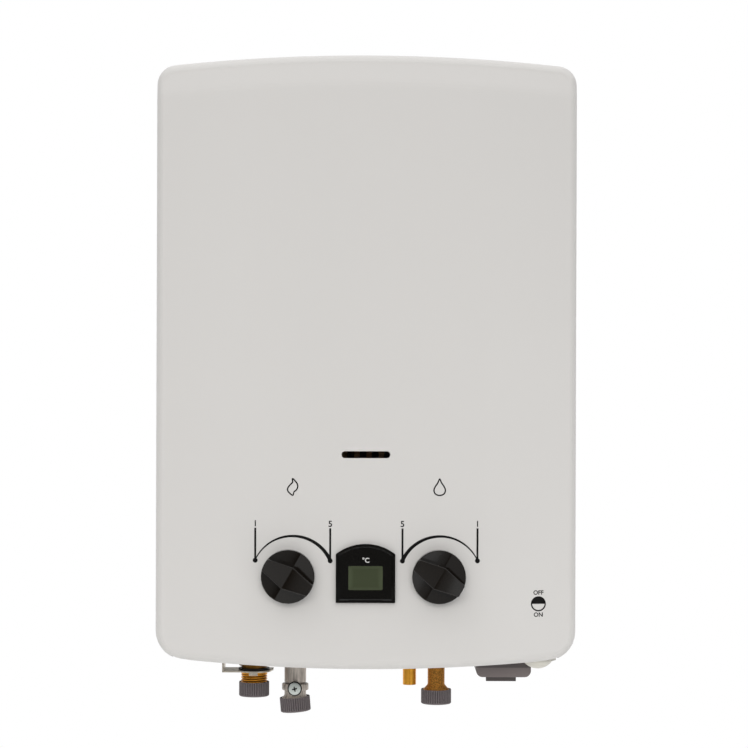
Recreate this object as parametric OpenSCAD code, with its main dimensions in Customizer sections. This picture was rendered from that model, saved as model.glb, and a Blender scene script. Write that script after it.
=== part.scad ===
// Wall-hung instantaneous gas water heater, as separate pieces.
// +Z is up, the front faces -Y, and the origin lies on the wall behind the middle of the cover.

/* [Cover] */
// Width of the cover
body_w = 325; // [318:1:360]
// Height from the crown of the bottom edge to the crown of the top edge
body_h = 472; // [450:1:540]
// Depth from the wall to the crown of the front
body_d = 150; // [148:1:175]
// How far the front's sides fall back from its crown
bow = 16; // [10:1:20]
// Rise of the arched top and bottom edges
arch = 7.5; // [5:0.5:10]
// Radius of the top corners
top_corner_r = 15; // [11:1:17]
// Radius of the bottom corners
bottom_corner_r = 22; // [16:1:25]
// Radius that rolls the front into the sides
edge_r = 7; // [4:0.5:9]
// Thickness of the cover's sheet
cover_t = 1; // [0.6:0.1:1.4]
// Height of the leaning band under the top edge
band_h = 23; // [22:1:32]
// How far that band leans back at the top edge
band_lean = 5; // [2:0.5:7]
// Space between the cover's rear edge and the wall
cover_gap = 1; // [0.5:0.5:3]
// Space between the cover and the tray that it slides over
cover_clear = 0.4; // [0.3:0.1:0.8]

/* [Front face] */
// Width of the flame window
window_w = 37.3; // [30:0.1:45]
// Height of the flame window
window_h = 5.3; // [4:0.1:7]
// Height of the flame window over the burner's top
window_rise = -2; // [-4:0.5:2]
// Height of the control axes above the bottom edge
control_h = 72; // [72:1:80]
// Distance between the two knobs
knob_gap = 115.4; // [114:0.2:120]
// Sideways place of the point midway between the knobs
knob_mid = -1.6; // [-2.5:0.1:-0.5]
// Diameter of a knob
knob_d = 41; // [36:0.5:46]
// Height of a knob's grip above its rear face
knob_h = 20; // [17:0.5:24]
// Width of the grip at its middle
grip_w = 18.5; // [15:0.5:21]
// Width of the grip at the rim
grip_end_w = 9.4; // [7:0.2:12]
// Slant of the grip at rest
grip_slant = 30; // [20:1:40]
// Width of the display's bezel
display_w = 45.4; // [42:0.2:50]
// Height of the bezel's sides
display_h = 37.2; // [35:0.2:42]
// Rise of the bezel's arched top
display_arch = 7.8; // [4:0.2:9]
// Width of the display's glass
glass_w = 26.4; // [22:0.2:30]
// Height of the display's glass
glass_h = 18.6; // [16:0.2:23]

/* [Chassis] */
// Thickness of the chassis sheet
plate_t = 1; // [0.8:0.1:1.5]
// Depth of the rear tray's rim
tray_d = 16; // [14:1:20]
// Height of the floor sheet above the bottom edge
floor_rise = 12; // [11:0.5:14]
// Distance between the two hanger holes
hanger_gap = 160; // [120:5:170]
// Distance between the two lower fixing holes
fixing_gap = 220; // [200:5:240]
// Diameter of the wall fixing holes
wall_hole_d = 8; // [6:0.5:9]

/* [Flue and heat] */
// Outer diameter of the flue collar
flue_d = 98; // [90:1:100]
// Height of the burner's top above the bottom edge
burner_h = 167; // [164:1:172]
// Number of burner bars
bar_count = 9; // [7:1:9]
// Room at each side of the row of burner bars
burner_room = 5.6; // [4:0.2:8]
// Outer width of the combustion chamber
chamber_w = 184; // [182:1:200]
// Outer depth of the combustion chamber
chamber_d = 80; // [78:1:84]
// Distance between the exchanger's tubes
tube_pitch = 15; // [14:0.2:15.6]
// Outer diameter of the water pipes
pipe_d = 12; // [10:0.5:12.5]
// Wall of the water pipes
pipe_wall = 1; // [0.6:0.1:1.5]
// Number of fins
fin_count = 36; // [20:1:36]

/* [Connections] */
// Outer diameter of the half-inch pipe threads
thread_d = 20.955; // [20.5:0.005:21.2]
// Distance of the connections from the wall
pipe_y = 74; // [72:0.5:76]
// Sideways place of the hot outlet
hot_x = -88.8; // [-90:0.2:-87]
// Sideways place of the gas inlet
gas_x = -56; // [-58:0.2:-55]
// Sideways place of the relief valve
relief_x = 35; // [34:0.2:36]
// Sideways place of the cold inlet
cold_x = 56.3; // [55:0.2:58]
// Depth of the hot outlet's cap below the bottom edge
hot_drop = 30; // [29:0.5:36]
// Depth of the gas inlet's cap below the bottom edge
gas_drop = 42; // [41:0.5:48]
// Depth of the cold inlet's cap below the bottom edge
cold_drop = 35.6; // [34:0.2:42]
// Depth of the relief valve's end below the bottom edge
relief_drop = 20.5; // [18:0.5:26]
// Outer diameter of the transport caps
cap_d = 24; // [23.8:0.1:25]
// Length of the transport caps
cap_l = 11.5; // [10:0.5:13]
// Lean of the gas cap on its thread
gas_cap_lean = 4.8; // [0:0.2:4.8]
// Diameter of the control spindles
spindle_d = 6; // [5:0.5:8]

/* [Battery and switch] */
// Diameter of a battery cell
cell_d = 33; // [31:0.5:34]
// Length of a battery cell
cell_l = 60; // [55:0.5:62]
// Distance from the cover's right side to the battery box's middle
battery_in = 54; // [53.5:0.5:57]
// Depth of the lid's underside below the bottom edge
lid_drop = 11; // [9:0.5:14]
// Width of the lid
lid_w = 43; // [43:0.5:47]
// Distance from the cover's right side to the switch's middle
switch_in = 28.5; // [28:0.5:30]
// Radius of the rocker's dome
rocker_r = 14; // [13:0.5:14]
// Tip of the rocker to either side
rocker_tip = 8; // [4:1:10]

/* [Hidden] */
$fn = 64;
white = [0.84, 0.83, 0.81];
black = [0.12, 0.11, 0.10];
zinc = [0.70, 0.71, 0.72];
brass = [0.72, 0.46, 0.12];
copper = [0.78, 0.46, 0.30];
cap_grey = [0.38, 0.35, 0.36];
cast_grey = [0.58, 0.56, 0.54];

// How far a cut runs past the face it opens
past = 1;
// Running clearance, face clearance and the room round a screw
fit = 0.1;
seat_gap = 0.3;
screw_r = 1.9;
screw_room = 0.2;
head_r = 3.8;
head_h = 2;

half_w = body_w / 2;
top_z = body_h / 2;
bottom_z = -body_h / 2;
floor_z = bottom_z + floor_rise;
floor_top = floor_z + plate_t;
control_z = bottom_z + control_h;
burner_z = bottom_z + burner_h;
thread_r = thread_d / 2;
pipe_r = pipe_d / 2;
spindle_r = spindle_d / 2;
hood_drop = 28;
chamber_drop = 66;
flame_room = 15;
hood_top = top_z - hood_drop;
chamber_top = top_z - chamber_drop;
chamber_low = burner_z + flame_room;
left_knob_x = knob_mid - knob_gap / 2;
right_knob_x = knob_mid + knob_gap / 2;

// Rounding of the cover: steps along half an edge, round a corner and over the front edge
arch_steps = 14;
corner_steps = 7;
edge_steps = 6;
crease_soft = 4;
crease_rows = [for (s = [3, 1, -1, -3]) band_h - s * crease_soft / 3];

function sagitta_r(half, rise) = (half * half + rise * rise) / (2 * rise);
arch_r = sagitta_r(half_w, arch);
bow_r = sagitta_r(half_w, bow);

// Height of the top edge over a sideways place
function top_edge(x) = top_z - arch_r + sqrt(arch_r * arch_r - x * x);
function corner_z(r) = top_z - arch_r + sqrt(pow(arch_r - r, 2) - pow(half_w - r, 2));
function corner_turn(r) = asin((half_w - r) / (arch_r - r));

// The front's distance from the wall, bowed sideways and leaning back above the crease
function lean_at(drop) =
    let (s = band_h - drop, slope = band_lean / band_h)
    s <= -crease_soft ? 0
        : s >= crease_soft ? slope * s
        : slope * pow(s + crease_soft, 2) / (4 * crease_soft);
function bow_at(x) = bow_r - sqrt(bow_r * bow_r - x * x);
function face_y(x, drop) = -body_d + bow_at(x) + lean_at(drop);

// The cover's front outline, drawn in by an inset, clockwise from the top left
function arch_run(inset, r, up) =
    [for (i = [-arch_steps : arch_steps])
        let (a = up * i / arch_steps * corner_turn(r))
        [(arch_r - inset) * sin(a), up * (top_z - arch_r + (arch_r - inset) * cos(a))]];
function right_run(inset) = concat(
    [for (i = [1 : corner_steps])
        let (a = (90 - corner_turn(top_corner_r)) * (1 - i / corner_steps), r = top_corner_r)
        [half_w - r + (r - inset) * cos(a), corner_z(r) + (r - inset) * sin(a)]],
    [for (drop = crease_rows) [half_w - inset, top_edge(half_w - inset) - drop]],
    [for (i = [0 : corner_steps - 1])
        let (a = (90 - corner_turn(bottom_corner_r)) * i / corner_steps, r = bottom_corner_r)
        [half_w - r + (r - inset) * cos(a), -corner_z(r) - (r - inset) * sin(a)]]);
function mirrored(run) = [for (i = [len(run) - 1 : -1 : 0]) [-run[i][0], run[i][1]]];
function outline(inset) = concat(
    arch_run(inset, top_corner_r, 1), right_run(inset),
    arch_run(inset, bottom_corner_r, -1), mirrored(right_run(inset)));

// One skin of the cover: rear ring, rolled edge rings and the rows across the front
rim = outline(edge_r);
rim_count = len(rim);
rim_y = [for (p = rim) face_y(p[0], top_edge(p[0]) - p[1])];
function skin_points(s) = concat(
    [for (p = outline(s)) [p[0], -cover_gap, p[1]]],
    [for (k = [0 : edge_steps])
        let (a = 90 * k / edge_steps, ring = outline(s + (edge_r - s) * (1 - cos(a))))
        for (i = [0 : rim_count - 1])
            [ring[i][0], rim_y[i] + s + (edge_r - s) * (1 - sin(a)), ring[i][1]]],
    [for (i = [0 : 2 * arch_steps]) for (drop = crease_rows)
        let (x = rim[i][0]) [x, face_y(x, drop) + s, top_edge(x) - drop]]);

function quad(a, b, c, d) = [[a, b, c], [a, c, d]];
function flat(lists) = [for (l = lists) each l];
row_count = len(crease_rows);
last_ring = rim_count * (1 + edge_steps);
grid_start = rim_count * (2 + edge_steps);
side_start = 2 * arch_steps + 1;
low_start = side_start + 2 * corner_steps + row_count;
function grid(i, j) = grid_start + i * row_count + j;
function column(i) = concat([last_ring + i], [for (j = [0 : row_count - 1]) grid(i, j)],
    [last_ring + low_start + 2 * arch_steps - i]);
function side(k, right) = last_ring + (right ? side_start + k : rim_count - 1 - k);
function side_faces(right) =
    let (col = column(right ? 2 * arch_steps : 0), low = corner_steps + row_count)
    concat(
        [for (k = [0 : corner_steps - 2]) [col[0], side(k, right), side(k + 1, right)]],
        flat([for (j = [0 : row_count])
            quad(col[j], side(corner_steps - 1 + j, right), side(corner_steps + j, right), col[j + 1])]),
        [for (k = [0 : corner_steps - 2])
            [col[row_count + 1], side(low + k, right), side(low + k + 1, right)]]);
function reversed(face) = [for (i = [len(face) - 1 : -1 : 0]) face[i]];
function skin_faces() = concat(
    flat([for (k = [0 : edge_steps]) for (i = [0 : rim_count - 1])
        let (a = k * rim_count, b = a + rim_count, j = (i + 1) % rim_count)
        quad(a + i, a + j, b + j, b + i)]),
    flat([for (i = [0 : 2 * arch_steps - 1]) let (l = column(i), r = column(i + 1))
        for (j = [0 : row_count]) quad(l[j], r[j], r[j + 1], l[j + 1])]),
    side_faces(true),
    [for (f = side_faces(false)) reversed(f)]);

module cover_shell() {
    outer = skin_points(0);
    inner = skin_points(cover_t);
    n = len(outer);
    polyhedron(concat(outer, inner), concat(
        skin_faces(),
        [for (f = skin_faces()) reversed([for (i = f) i + n])],
        flat([for (i = [0 : rim_count - 1]) let (j = (i + 1) % rim_count) quad(i, n + i, n + j, j)])));
}

// Simple solids between stated faces
module box(x0, x1, y0, y1, z0, z1) translate([x0, y0, z0]) cube([x1 - x0, y1 - y0, z1 - z0]);
module along_x(r, x0, x1) translate([x0, 0, 0]) rotate([0, 90, 0]) cylinder(r = r, h = x1 - x0);
module along_y(r, y0, y1) translate([0, y0, 0]) rotate([-90, 0, 0]) cylinder(r = r, h = y1 - y0);
module along_z(r, z0, z1) translate([0, 0, z0]) cylinder(r = r, h = z1 - z0);
module cone_z(r0, r1, z0, z1) translate([0, 0, z0]) cylinder(r1 = r0, r2 = r1, h = z1 - z0);
module hex_z(flats, z0, z1)
    translate([0, 0, z0]) cylinder(r = flats / 2 / cos(30), h = z1 - z0, $fn = 6);
module slab(y0, y1) translate([0, y1, 0]) rotate([90, 0, 0]) linear_extrude(y1 - y0) children();
module slot2d(w, h) {
    square([w - h, h], center = true);
    for (s = [-1, 1]) translate([s * (w - h) / 2, 0]) circle(d = h);
}
module both_sides() {
    children();
    mirror([1, 0, 0]) children();
}

// A round bar along points, with a bend of the given radius at each inner point
function unit(v) = v / norm(v);
function bend_trim(pts, i, bend) =
    i == 0 || i == len(pts) - 1 ? 0
        : let (a = unit(pts[i] - pts[i - 1]), b = unit(pts[i + 1] - pts[i])) bend * tan(acos(a * b) / 2);
module pipe_run(pts, r, bend) {
    for (i = [0 : len(pts) - 2]) {
        d = unit(pts[i + 1] - pts[i]);
        from = pts[i] + d * bend_trim(pts, i, bend);
        to = pts[i + 1] - d * bend_trim(pts, i + 1, bend);
        side_axis = unit(cross(d, abs(d[2]) < 0.9 ? [0, 0, 1] : [1, 0, 0]));
        up_axis = cross(d, side_axis);
        multmatrix([for (k = [0 : 2]) [side_axis[k], up_axis[k], d[k], from[k]]])
            cylinder(r = r, h = norm(to - from));
    }
    for (i = [1 : 1 : len(pts) - 2]) {
        a = unit(pts[i] - pts[i - 1]);
        b = unit(pts[i + 1] - pts[i]);
        inward = unit(b - a * (a * b));
        centre = pts[i] - a * bend_trim(pts, i, bend) + inward * bend;
        normal = cross(-inward, a);
        multmatrix([for (k = [0 : 2]) [-inward[k], a[k], normal[k], centre[k]]])
            rotate_extrude(angle = acos(a * b)) translate([bend, 0]) circle(r = r);
    }
}
module tube_run(pts, bend) difference() {
    pipe_run(pts, pipe_r, bend);
    pipe_run(pts, pipe_r - pipe_wall, bend);
}

// Casing: places of the screws, wall holes and floor, taken from the cover's edges
low_screw_rise = 60;
high_screw_drop = 70;
hanger_drop = 40;
fixing_rise = 34;
floor_in = 14.5;
floor_back = 18;
lip_room = 0.5;
tray_inset = cover_t + cover_clear;
screw_y = -(cover_gap + tray_d) / 2;
side_screw_z = [bottom_z + low_screw_rise, top_z - high_screw_drop];
hanger_z = top_z - hanger_drop;
fixing_z = bottom_z + fixing_rise;
floor_half = half_w - floor_in;
floor_front = -(body_d - floor_back);

module outline2d(inset) polygon(outline(inset));

module front_cover() color(white) difference() {
    lip_y = min(-(body_d - bow), switch_y - housing_r - lip_room);
    opening_half = switch_x + housing_r + lip_room;
    cover_shell();
    translate([0, 0, burner_z + window_rise]) slab(-body_d - bow, -body_d + bow) slot2d(window_w, window_h);
    for (x = [left_knob_x, right_knob_x]) translate([x, 0, control_z])
        along_y(knob_hole_r, -body_d - bow, -body_d + 2 * bow);
    box(-display_w / 2 + bezel_lap, display_w / 2 - bezel_lap, -body_d - bow, -body_d + bow,
        display_low + bezel_lap, display_low + display_h - bezel_lap);
    flue_notch();
    box(-opening_half, opening_half, lip_y, 0, bottom_z - arch, bottom_z + 2 * arch);
    side_screws() along_x(screw_r + screw_room, -2 * cover_t, head_h);
}

module flue_notch() translate([0, 0, top_z - 2 * arch]) {
    r = flue_d / 2 + flue_room;
    translate([0, flue_y, 0]) cylinder(r = r, h = 4 * arch);
    box(-r, r, flue_y, 0, 0, 4 * arch);
}

// Places its children at the four side screws, their X pointing out of the cover
module side_screws() both_sides() for (z = side_screw_z) translate([half_w, screw_y, z]) children();

module cover_screws() color(zinc) side_screws() {
    along_x(head_r, 0, head_h);
    along_x(screw_r, -2 * tray_inset - plate_t, 0);
}

// The rear tray, stiffened by two upright beads
bead_r = 7;
bead_sink = 3;
bead_x = 60;
collar_room = 1.5;
module back_plate() color(zinc) difference() {
    union() {
        slab(-plate_t, 0) outline2d(tray_inset);
        slab(-tray_d, -plate_t) difference() {
            outline2d(tray_inset);
            outline2d(tray_inset + plate_t);
        }
        beads(bead_r);
    }
    beads(bead_r - plate_t);
    box(-half_w, half_w, 0, 2 * bead_r, bottom_z, top_z);
    for (s = [-1, 1]) {
        translate([s * hanger_gap / 2, 0, hanger_z]) along_y(wall_hole_d / 2, -2 * plate_t, plate_t);
        translate([s * fixing_gap / 2, 0, fixing_z]) along_y(wall_hole_d / 2, -2 * plate_t, plate_t);
    }
    side_screws() along_x(screw_r + screw_room, -2 * tray_inset - 2 * plate_t, 0);
    rear_screws() along_y(screw_r + screw_room, -2 * plate_t, plate_t);
    translate([0, flue_y, 0]) along_z(flue_d / 2 + collar_room, hood_top, top_z + arch);
}
module beads(r) for (s = [-1, 1]) translate([s * bead_x, bead_sink, 0])
    along_z(r, lower_rail_z + rail_h, upper_rail_z - rail_h);

// The floor: holes for all that passes through it, upturned edges and air slots
floor_edge = 10;
pipe_room = 1;
air_slot_w = 24;
air_slot_h = 5;
air_shift = -12;
air_rows = [-112, -100, -40, -28];
module bottom_plate() color(zinc) difference() {
    union() {
        box(-floor_half, floor_half, floor_front, -plate_t, floor_z, floor_top);
        box(-floor_half, floor_half, -2 * plate_t, -plate_t, floor_z, floor_z + 2 * floor_edge);
        both_sides()
            box(floor_half - plate_t, floor_half, floor_front, -plate_t, floor_z, floor_z + floor_edge);
        box(-floor_half, floor_half, floor_front, floor_front + plate_t, floor_z, floor_z + floor_edge);
    }
    at_pipe(hot_x) floor_hole(hot_shoulder_r + pipe_room);
    at_pipe(gas_x) floor_hole(gas_tube_r + pipe_room);
    at_pipe(relief_x) floor_hole(relief_r + pipe_room);
    at_pipe(cold_x) floor_hole(cold_tube_r + pipe_room);
    at_battery() box(-box_half_w - fit, box_half_w + fit, -box_half_d - fit, box_half_d + fit,
        floor_z - past, floor_top + past);
    at_switch() along_z(switch_neck_r + fit, floor_z - past, floor_z + floor_edge + past);
    at_pipe(bracket_screw_x) floor_hole(screw_r + screw_room);
    for (i = [-1 : 1]) for (y = air_rows) translate([1.5 * i * air_slot_w + air_shift, y, floor_z - past])
        linear_extrude(plate_t + 2 * past) slot2d(air_slot_w, air_slot_h);
    floor_screws() along_y(screw_r + screw_room, -3 * plate_t, 0);
}
module floor_hole(r) along_z(r, floor_z - past, floor_top + past);
module at_pipe(x) translate([x, -pipe_y, 0]) children();

// Hat-section rails between the back plate and the heat parts
rail_h = 20;
rail_half = 66;
rail_flange = 10;
rail_screw_in = 8;
rail_under_burner = 9;
rail_under_top = 40;
rear_gap = 24;
lower_rail_z = burner_z - rail_under_burner;
upper_rail_z = chamber_top - rail_under_top;
module rail() rotate([90, 0, 90]) translate([0, 0, -rail_half]) linear_extrude(2 * rail_half) {
    translate([-rear_gap, -rail_h / 2]) square([plate_t, rail_h]);
    for (s = [-1, 1]) {
        translate([-rear_gap, s > 0 ? rail_h / 2 - plate_t : -rail_h / 2])
            square([rear_gap - plate_t, plate_t]);
        translate([-2 * plate_t, s > 0 ? rail_h / 2 - plate_t : -rail_h / 2 - rail_flange + plate_t])
            square([plate_t, rail_flange]);
    }
}
module support_rails() color(zinc) difference() {
    for (z = [lower_rail_z, upper_rail_z]) translate([0, 0, z]) rail();
    rear_screws() along_y(screw_r + screw_room, -3 * plate_t, 0);
}
floor_screw_in = 20;
module rear_screws() {
    for (z = [lower_rail_z, upper_rail_z]) for (s = [-1, 1]) for (v = [-1, 1])
        translate([s * (rail_half - rail_screw_in), 0, z + v * (rail_h / 2 + rail_flange / 2 - plate_t)])
            children();
    floor_screws() children();
}
module floor_screws() for (s = [-1, 1])
    translate([s * (floor_half - floor_screw_in), 0, floor_z + 1.4 * floor_edge]) children();
module chassis_screws() color(zinc) {
    rear_screws() {
        along_y(head_r, -2 * plate_t - head_h, -2 * plate_t);
        along_y(screw_r, -2 * plate_t, 0);
    }
    at_pipe(bracket_screw_x) {
        along_z(head_r, floor_top, floor_top + head_h);
        along_z(screw_r, floor_z - 2 * plate_t - past, floor_top);
    }
}

// Flue and heat
flue_y = -64;
flue_room = 6;
heat_y = -(rear_gap + chamber_d / 2);
heat_front = heat_y - chamber_d / 2;
heat_rear = heat_y + chamber_d / 2;
heat_flange = 6;
collar_rise = 0.5;
collar_t = 1;
collar_flange = 4;
collar_top = top_z + collar_rise;

// A four-sided funnel between two rectangles, each given as half width, front and rear
module funnel(low, high, z0, z1) {
    corners = [[-1, 1], [1, 1], [1, 2], [-1, 2]];
    polyhedron(
        concat([for (c = corners) [c[0] * low[0], low[c[1]], z0]],
            [for (c = corners) [c[0] * high[0], high[c[1]], z1]]),
        [[0, 1, 2, 3], [7, 6, 5, 4], [0, 4, 5, 1], [1, 5, 6, 2], [2, 6, 7, 3], [3, 7, 4, 0]]);
}
hood_flare = 8;
hood_half = chamber_w / 2 + hood_flare;
hood_half_d = 54;
hood_front = flue_y - hood_half_d;
hood_rear = flue_y + hood_half_d;
hood_bend = (hood_top + chamber_top) / 2;
hood_slot_h = 6;
hood_slot_rise = 7;
sliver = 0.01;
module draft_hood() color(zinc) {
    low = [chamber_w / 2, heat_front, heat_rear];
    high = [hood_half, hood_front, hood_rear];
    low_in = [low[0] - plate_t, low[1] + plate_t, low[2] - plate_t];
    high_in = [high[0] - plate_t, high[1] + plate_t, high[2] - plate_t];
    difference() {
        union() {
            funnel(low, high, chamber_top, hood_bend);
            box(-high[0], high[0], high[1], high[2], hood_bend, hood_top);
            heat_rim(chamber_top, chamber_top + plate_t);
        }
        funnel(low_in, high_in, chamber_top - sliver, hood_bend + sliver);
        box(-high_in[0], high_in[0], high_in[1], high_in[2], hood_bend, hood_top - plate_t);
        translate([0, flue_y, 0]) along_z(flue_d / 2 - collar_t, hood_bend, hood_top + past);
        for (s = [-1, 1]) translate([s * hood_half / 2, 0, hood_bend + hood_slot_rise])
            slab(hood_rear - 2 * plate_t, hood_rear + past) slot2d(0.8 * hood_half, hood_slot_h);
    }
}
// Outward rim where hood, chamber and burner tray meet
module heat_rim(z0, z1) box(-chamber_w / 2 - heat_flange, chamber_w / 2 + heat_flange,
    heat_front - heat_flange, heat_rear + heat_flange, z0, z1);
module heat_bore(z0, z1) box(-chamber_w / 2 + plate_t, chamber_w / 2 - plate_t,
    heat_front + plate_t, heat_rear - plate_t, z0, z1);

module flue_collar() color(zinc) translate([0, flue_y, 0]) difference() {
    union() {
        along_z(flue_d / 2, hood_top, collar_top);
        along_z(flue_d / 2 + collar_flange, hood_top, hood_top + collar_t);
    }
    along_z(flue_d / 2 - collar_t, hood_top - past, collar_top + past);
}

tube_count = 5;
tube_drop = 26;
tube_z = chamber_top - tube_drop;
fin_h = 40;
fin_t = 0.6;
fin_in = 4;
fin_room = 2;
function tube_y(i) = heat_y + (i - (tube_count - 1) / 2) * tube_pitch;
module tube_holes(r) for (i = [0 : tube_count - 1]) translate([0, tube_y(i), tube_z])
    along_x(r, -chamber_w, chamber_w);

module combustion_chamber() color(copper) difference() {
    union() {
        box(-chamber_w / 2, chamber_w / 2, heat_front, heat_rear, chamber_low, chamber_top);
        heat_rim(chamber_low, chamber_low + plate_t);
        heat_rim(chamber_top - plate_t, chamber_top);
    }
    heat_bore(chamber_low - past, chamber_top + past);
    tube_holes(pipe_r + fit);
    // The front of the lower rim stays open for the electrodes
    box(-chamber_w, chamber_w, heat_front - chamber_d, heat_front,
        chamber_low - past, chamber_low + 2 * plate_t);
}

module fin_stack() color(copper) {
    half = chamber_w / 2 - fin_in;
    for (i = [0 : fin_count - 1]) {
        x = -half + 2 * half * i / (fin_count - 1);
        difference() {
            box(x - fin_t / 2, x + fin_t / 2, heat_front + fin_room, heat_rear - fin_room,
                tube_z - fin_h / 2, tube_z + fin_h / 2);
            tube_holes(pipe_r + fit / 2);
        }
    }
}

// The tubes run to and fro through the fins: their ends stand out of the chamber's sides
tube_reach = 8;
tube_stub = 3;
tube_out = chamber_w / 2 + tube_reach;
tube_end = tube_out + tube_stub;
last_tube = tube_count - 1;
module exchanger_tubes() color(copper) difference() {
    serpentine(pipe_r);
    serpentine(pipe_r - pipe_wall);
}
module serpentine(r) {
    for (i = [0 : last_tube]) translate([0, tube_y(i), tube_z])
        along_x(r, i == last_tube ? -tube_end : -tube_out, i == 0 ? tube_end : tube_out);
    for (i = [0 : last_tube - 1])
        translate([i % 2 == 0 ? -tube_out : tube_out, (tube_y(i) + tube_y(i + 1)) / 2, tube_z])
            rotate([0, 0, i % 2 == 0 ? 90 : -90])
                rotate_extrude(angle = 180) translate([tube_pitch / 2, 0]) circle(r = r);
}

// Burner
bar_w = 14;
bar_h = 20;
bar_front_room = 4;
bar_rear_room = 6;
lip_w = 4.4;
lip_h = 12;
port_in = 3;
mouth_r = 5.5;
mouth_l = 40;
bar_low = burner_z - lip_h - bar_h;
bar_front = heat_front + bar_front_room;
bar_rear = heat_rear - bar_rear_room;
bar_pitch = (chamber_w - 2 * plate_t - 2 * burner_room - bar_w) / (bar_count - 1);
burner_shift = -2.5;
jet_z = bar_low + bar_h / 2;
function bar_x(i) = burner_shift + (i - (bar_count - 1) / 2) * bar_pitch;
module burner_bars() color([0.62, 0.48, 0.36]) for (i = [0 : bar_count - 1]) translate([bar_x(i), 0, 0])
    difference() {
        lip_rear = bar_rear - bar_h / 2;
        union() {
            rotate([90, 0, 90]) translate([0, 0, -bar_w / 2]) linear_extrude(bar_w) {
                translate([bar_front, bar_low]) square([lip_rear - bar_front, bar_h]);
                translate([lip_rear, bar_low + bar_h / 2]) circle(d = bar_h);
            }
            for (s = [-1, 1]) translate([s * bar_pitch / 4, 0, 0])
                box(-lip_w / 2, lip_w / 2, bar_front, lip_rear, bar_low + bar_h, burner_z);
        }
        translate([0, 0, jet_z]) along_y(mouth_r, bar_front - past, bar_front + mouth_l);
        for (s = [-1, 1]) translate([s * bar_pitch / 4, 0, 0])
            box(-lip_w / 6, lip_w / 6, bar_front + port_in, lip_rear - port_in,
                burner_z - lip_h / 2, burner_z + past);
    }

tray_room = 5;
strip_w = 10;
tray_low = bar_low - tray_room;
module burner_tray() color(zinc) {
    x = chamber_w / 2;
    both_sides() box(x - plate_t, x, heat_front, heat_rear, tray_low, chamber_low);
    box(-x, x, heat_rear - plate_t, heat_rear, tray_low, chamber_low);
    box(-x, x, heat_front, heat_front + plate_t, tray_low, bar_low);
    for (y = [bar_front + strip_w, bar_rear - 2.2 * strip_w])
        box(-x, x, y, y + strip_w, bar_low - plate_t, bar_low);
    difference() {
        heat_rim(chamber_low - plate_t, chamber_low);
        heat_bore(chamber_low - 2 * plate_t, chamber_low + past);
        box(-2 * x, 2 * x, heat_front - chamber_d, heat_front, chamber_low - 2 * plate_t, chamber_low + past);
    }
}

// Gas manifold with a jet in front of each bar, standing on the gas valve by a flanged stub
manifold_w = 14;
manifold_wall = 2;
manifold_end = 12;
manifold_foot = 10;
jet_l = 5;
jet_r = 3.6;
jet_gap = 5;
jet_bore_r = 1.5;
orifice_r = 0.5;
stub_r = 7;
stub_flange = [15, 10, 3];
valve_rise = 32;
manifold_rear = bar_front - jet_l - jet_gap;
manifold_y = manifold_rear - manifold_w / 2;
valve_top = control_z + valve_rise;
manifold_half = (bar_count - 1) / 2 * bar_pitch + manifold_end;
module gas_manifold() color(cast_grey) {
    low = jet_z - manifold_w / 2;
    front = manifold_rear - manifold_w;
    inner_half = manifold_half - 1.5 * manifold_wall;
    difference() {
        union() {
            translate([burner_shift, 0, 0]) {
                box(-manifold_half, manifold_half, front, manifold_rear, low, low + manifold_w);
                both_sides()
                    box(manifold_half - manifold_foot, manifold_half, front, heat_front, tray_low, low);
            }
            translate([left_knob_x, manifold_y, 0]) {
                along_z(stub_r, valve_top, low);
                flange_box(stub_flange, valve_top, valve_top + stub_flange[2]);
            }
        }
        translate([burner_shift, 0, 0]) box(-inner_half, inner_half, front + manifold_wall,
            manifold_rear - manifold_wall, low + manifold_wall, low + manifold_w - manifold_wall);
        translate([left_knob_x, manifold_y, 0])
            along_z(stub_r - manifold_wall, valve_top - past, low + 1.5 * manifold_wall);
        at_jets() along_y(jet_bore_r, -1.5 * manifold_wall, past);
    }
}
// A flange plate, its size given as half width, half depth and thickness
module flange_box(size, z0, z1) box(-size[0], size[0], -size[1], size[1], z0, z1);
module at_jets() for (i = [0 : bar_count - 1]) translate([bar_x(i), manifold_rear, jet_z]) children();
module gas_injectors() color(brass) at_jets() difference() {
    rotate([-90, 0, 0]) cylinder(r = jet_r, h = jet_l, $fn = 6);
    along_y(orifice_r, -past, jet_l + past);
}

// Electrodes on a bracket in front of the burner, and the igniter on the floor between the valves
electrode_gap = 18;
foot_room = 2.9;
spark_rise = 9;
spark_reach = 22;
sensor_reach = 30;
ceramic_r = 3.5;
ceramic_front = 14;
ceramic_rear = 9;
ceramic_ring = 1.4;
ceramic_ring_l = 3.1;
electrode_r = 1;
electrode_front = 20;
bracket_sheet = 1.2;
bracket_side = 7;
bracket_over = 5.5;
jet_clear_r = 7;
sensor_x = burner_shift + manifold_half - manifold_foot - foot_room - bracket_side;
spark_x = sensor_x - electrode_gap;
spark_z = burner_z + spark_rise;
bracket_y = heat_front - bracket_sheet;
module electrode_bracket() color(zinc) difference() {
    box(spark_x - bracket_side, sensor_x + bracket_side, bracket_y, heat_front,
        tray_low, spark_z + bracket_over);
    for (x = [spark_x, sensor_x]) translate([x, 0, spark_z])
        along_y(ceramic_r + fit, bracket_y - past, heat_front + past);
    at_jets() along_y(jet_clear_r, 0, jet_l + jet_gap + bar_front_room);
}
module electrode(x, reach) translate([x, 0, spark_z]) {
    color("ivory") {
        along_y(ceramic_r, bracket_y - ceramic_front, bracket_y + ceramic_rear);
        along_y(ceramic_r + ceramic_ring, bracket_y - fit - ceramic_ring_l, bracket_y - fit);
    }
    color(zinc) along_y(electrode_r, bracket_y - electrode_front, bracket_y + reach);
}
module ignition_electrode() electrode(spark_x, spark_reach);
module flame_sensor() electrode(sensor_x, sensor_reach);

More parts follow.
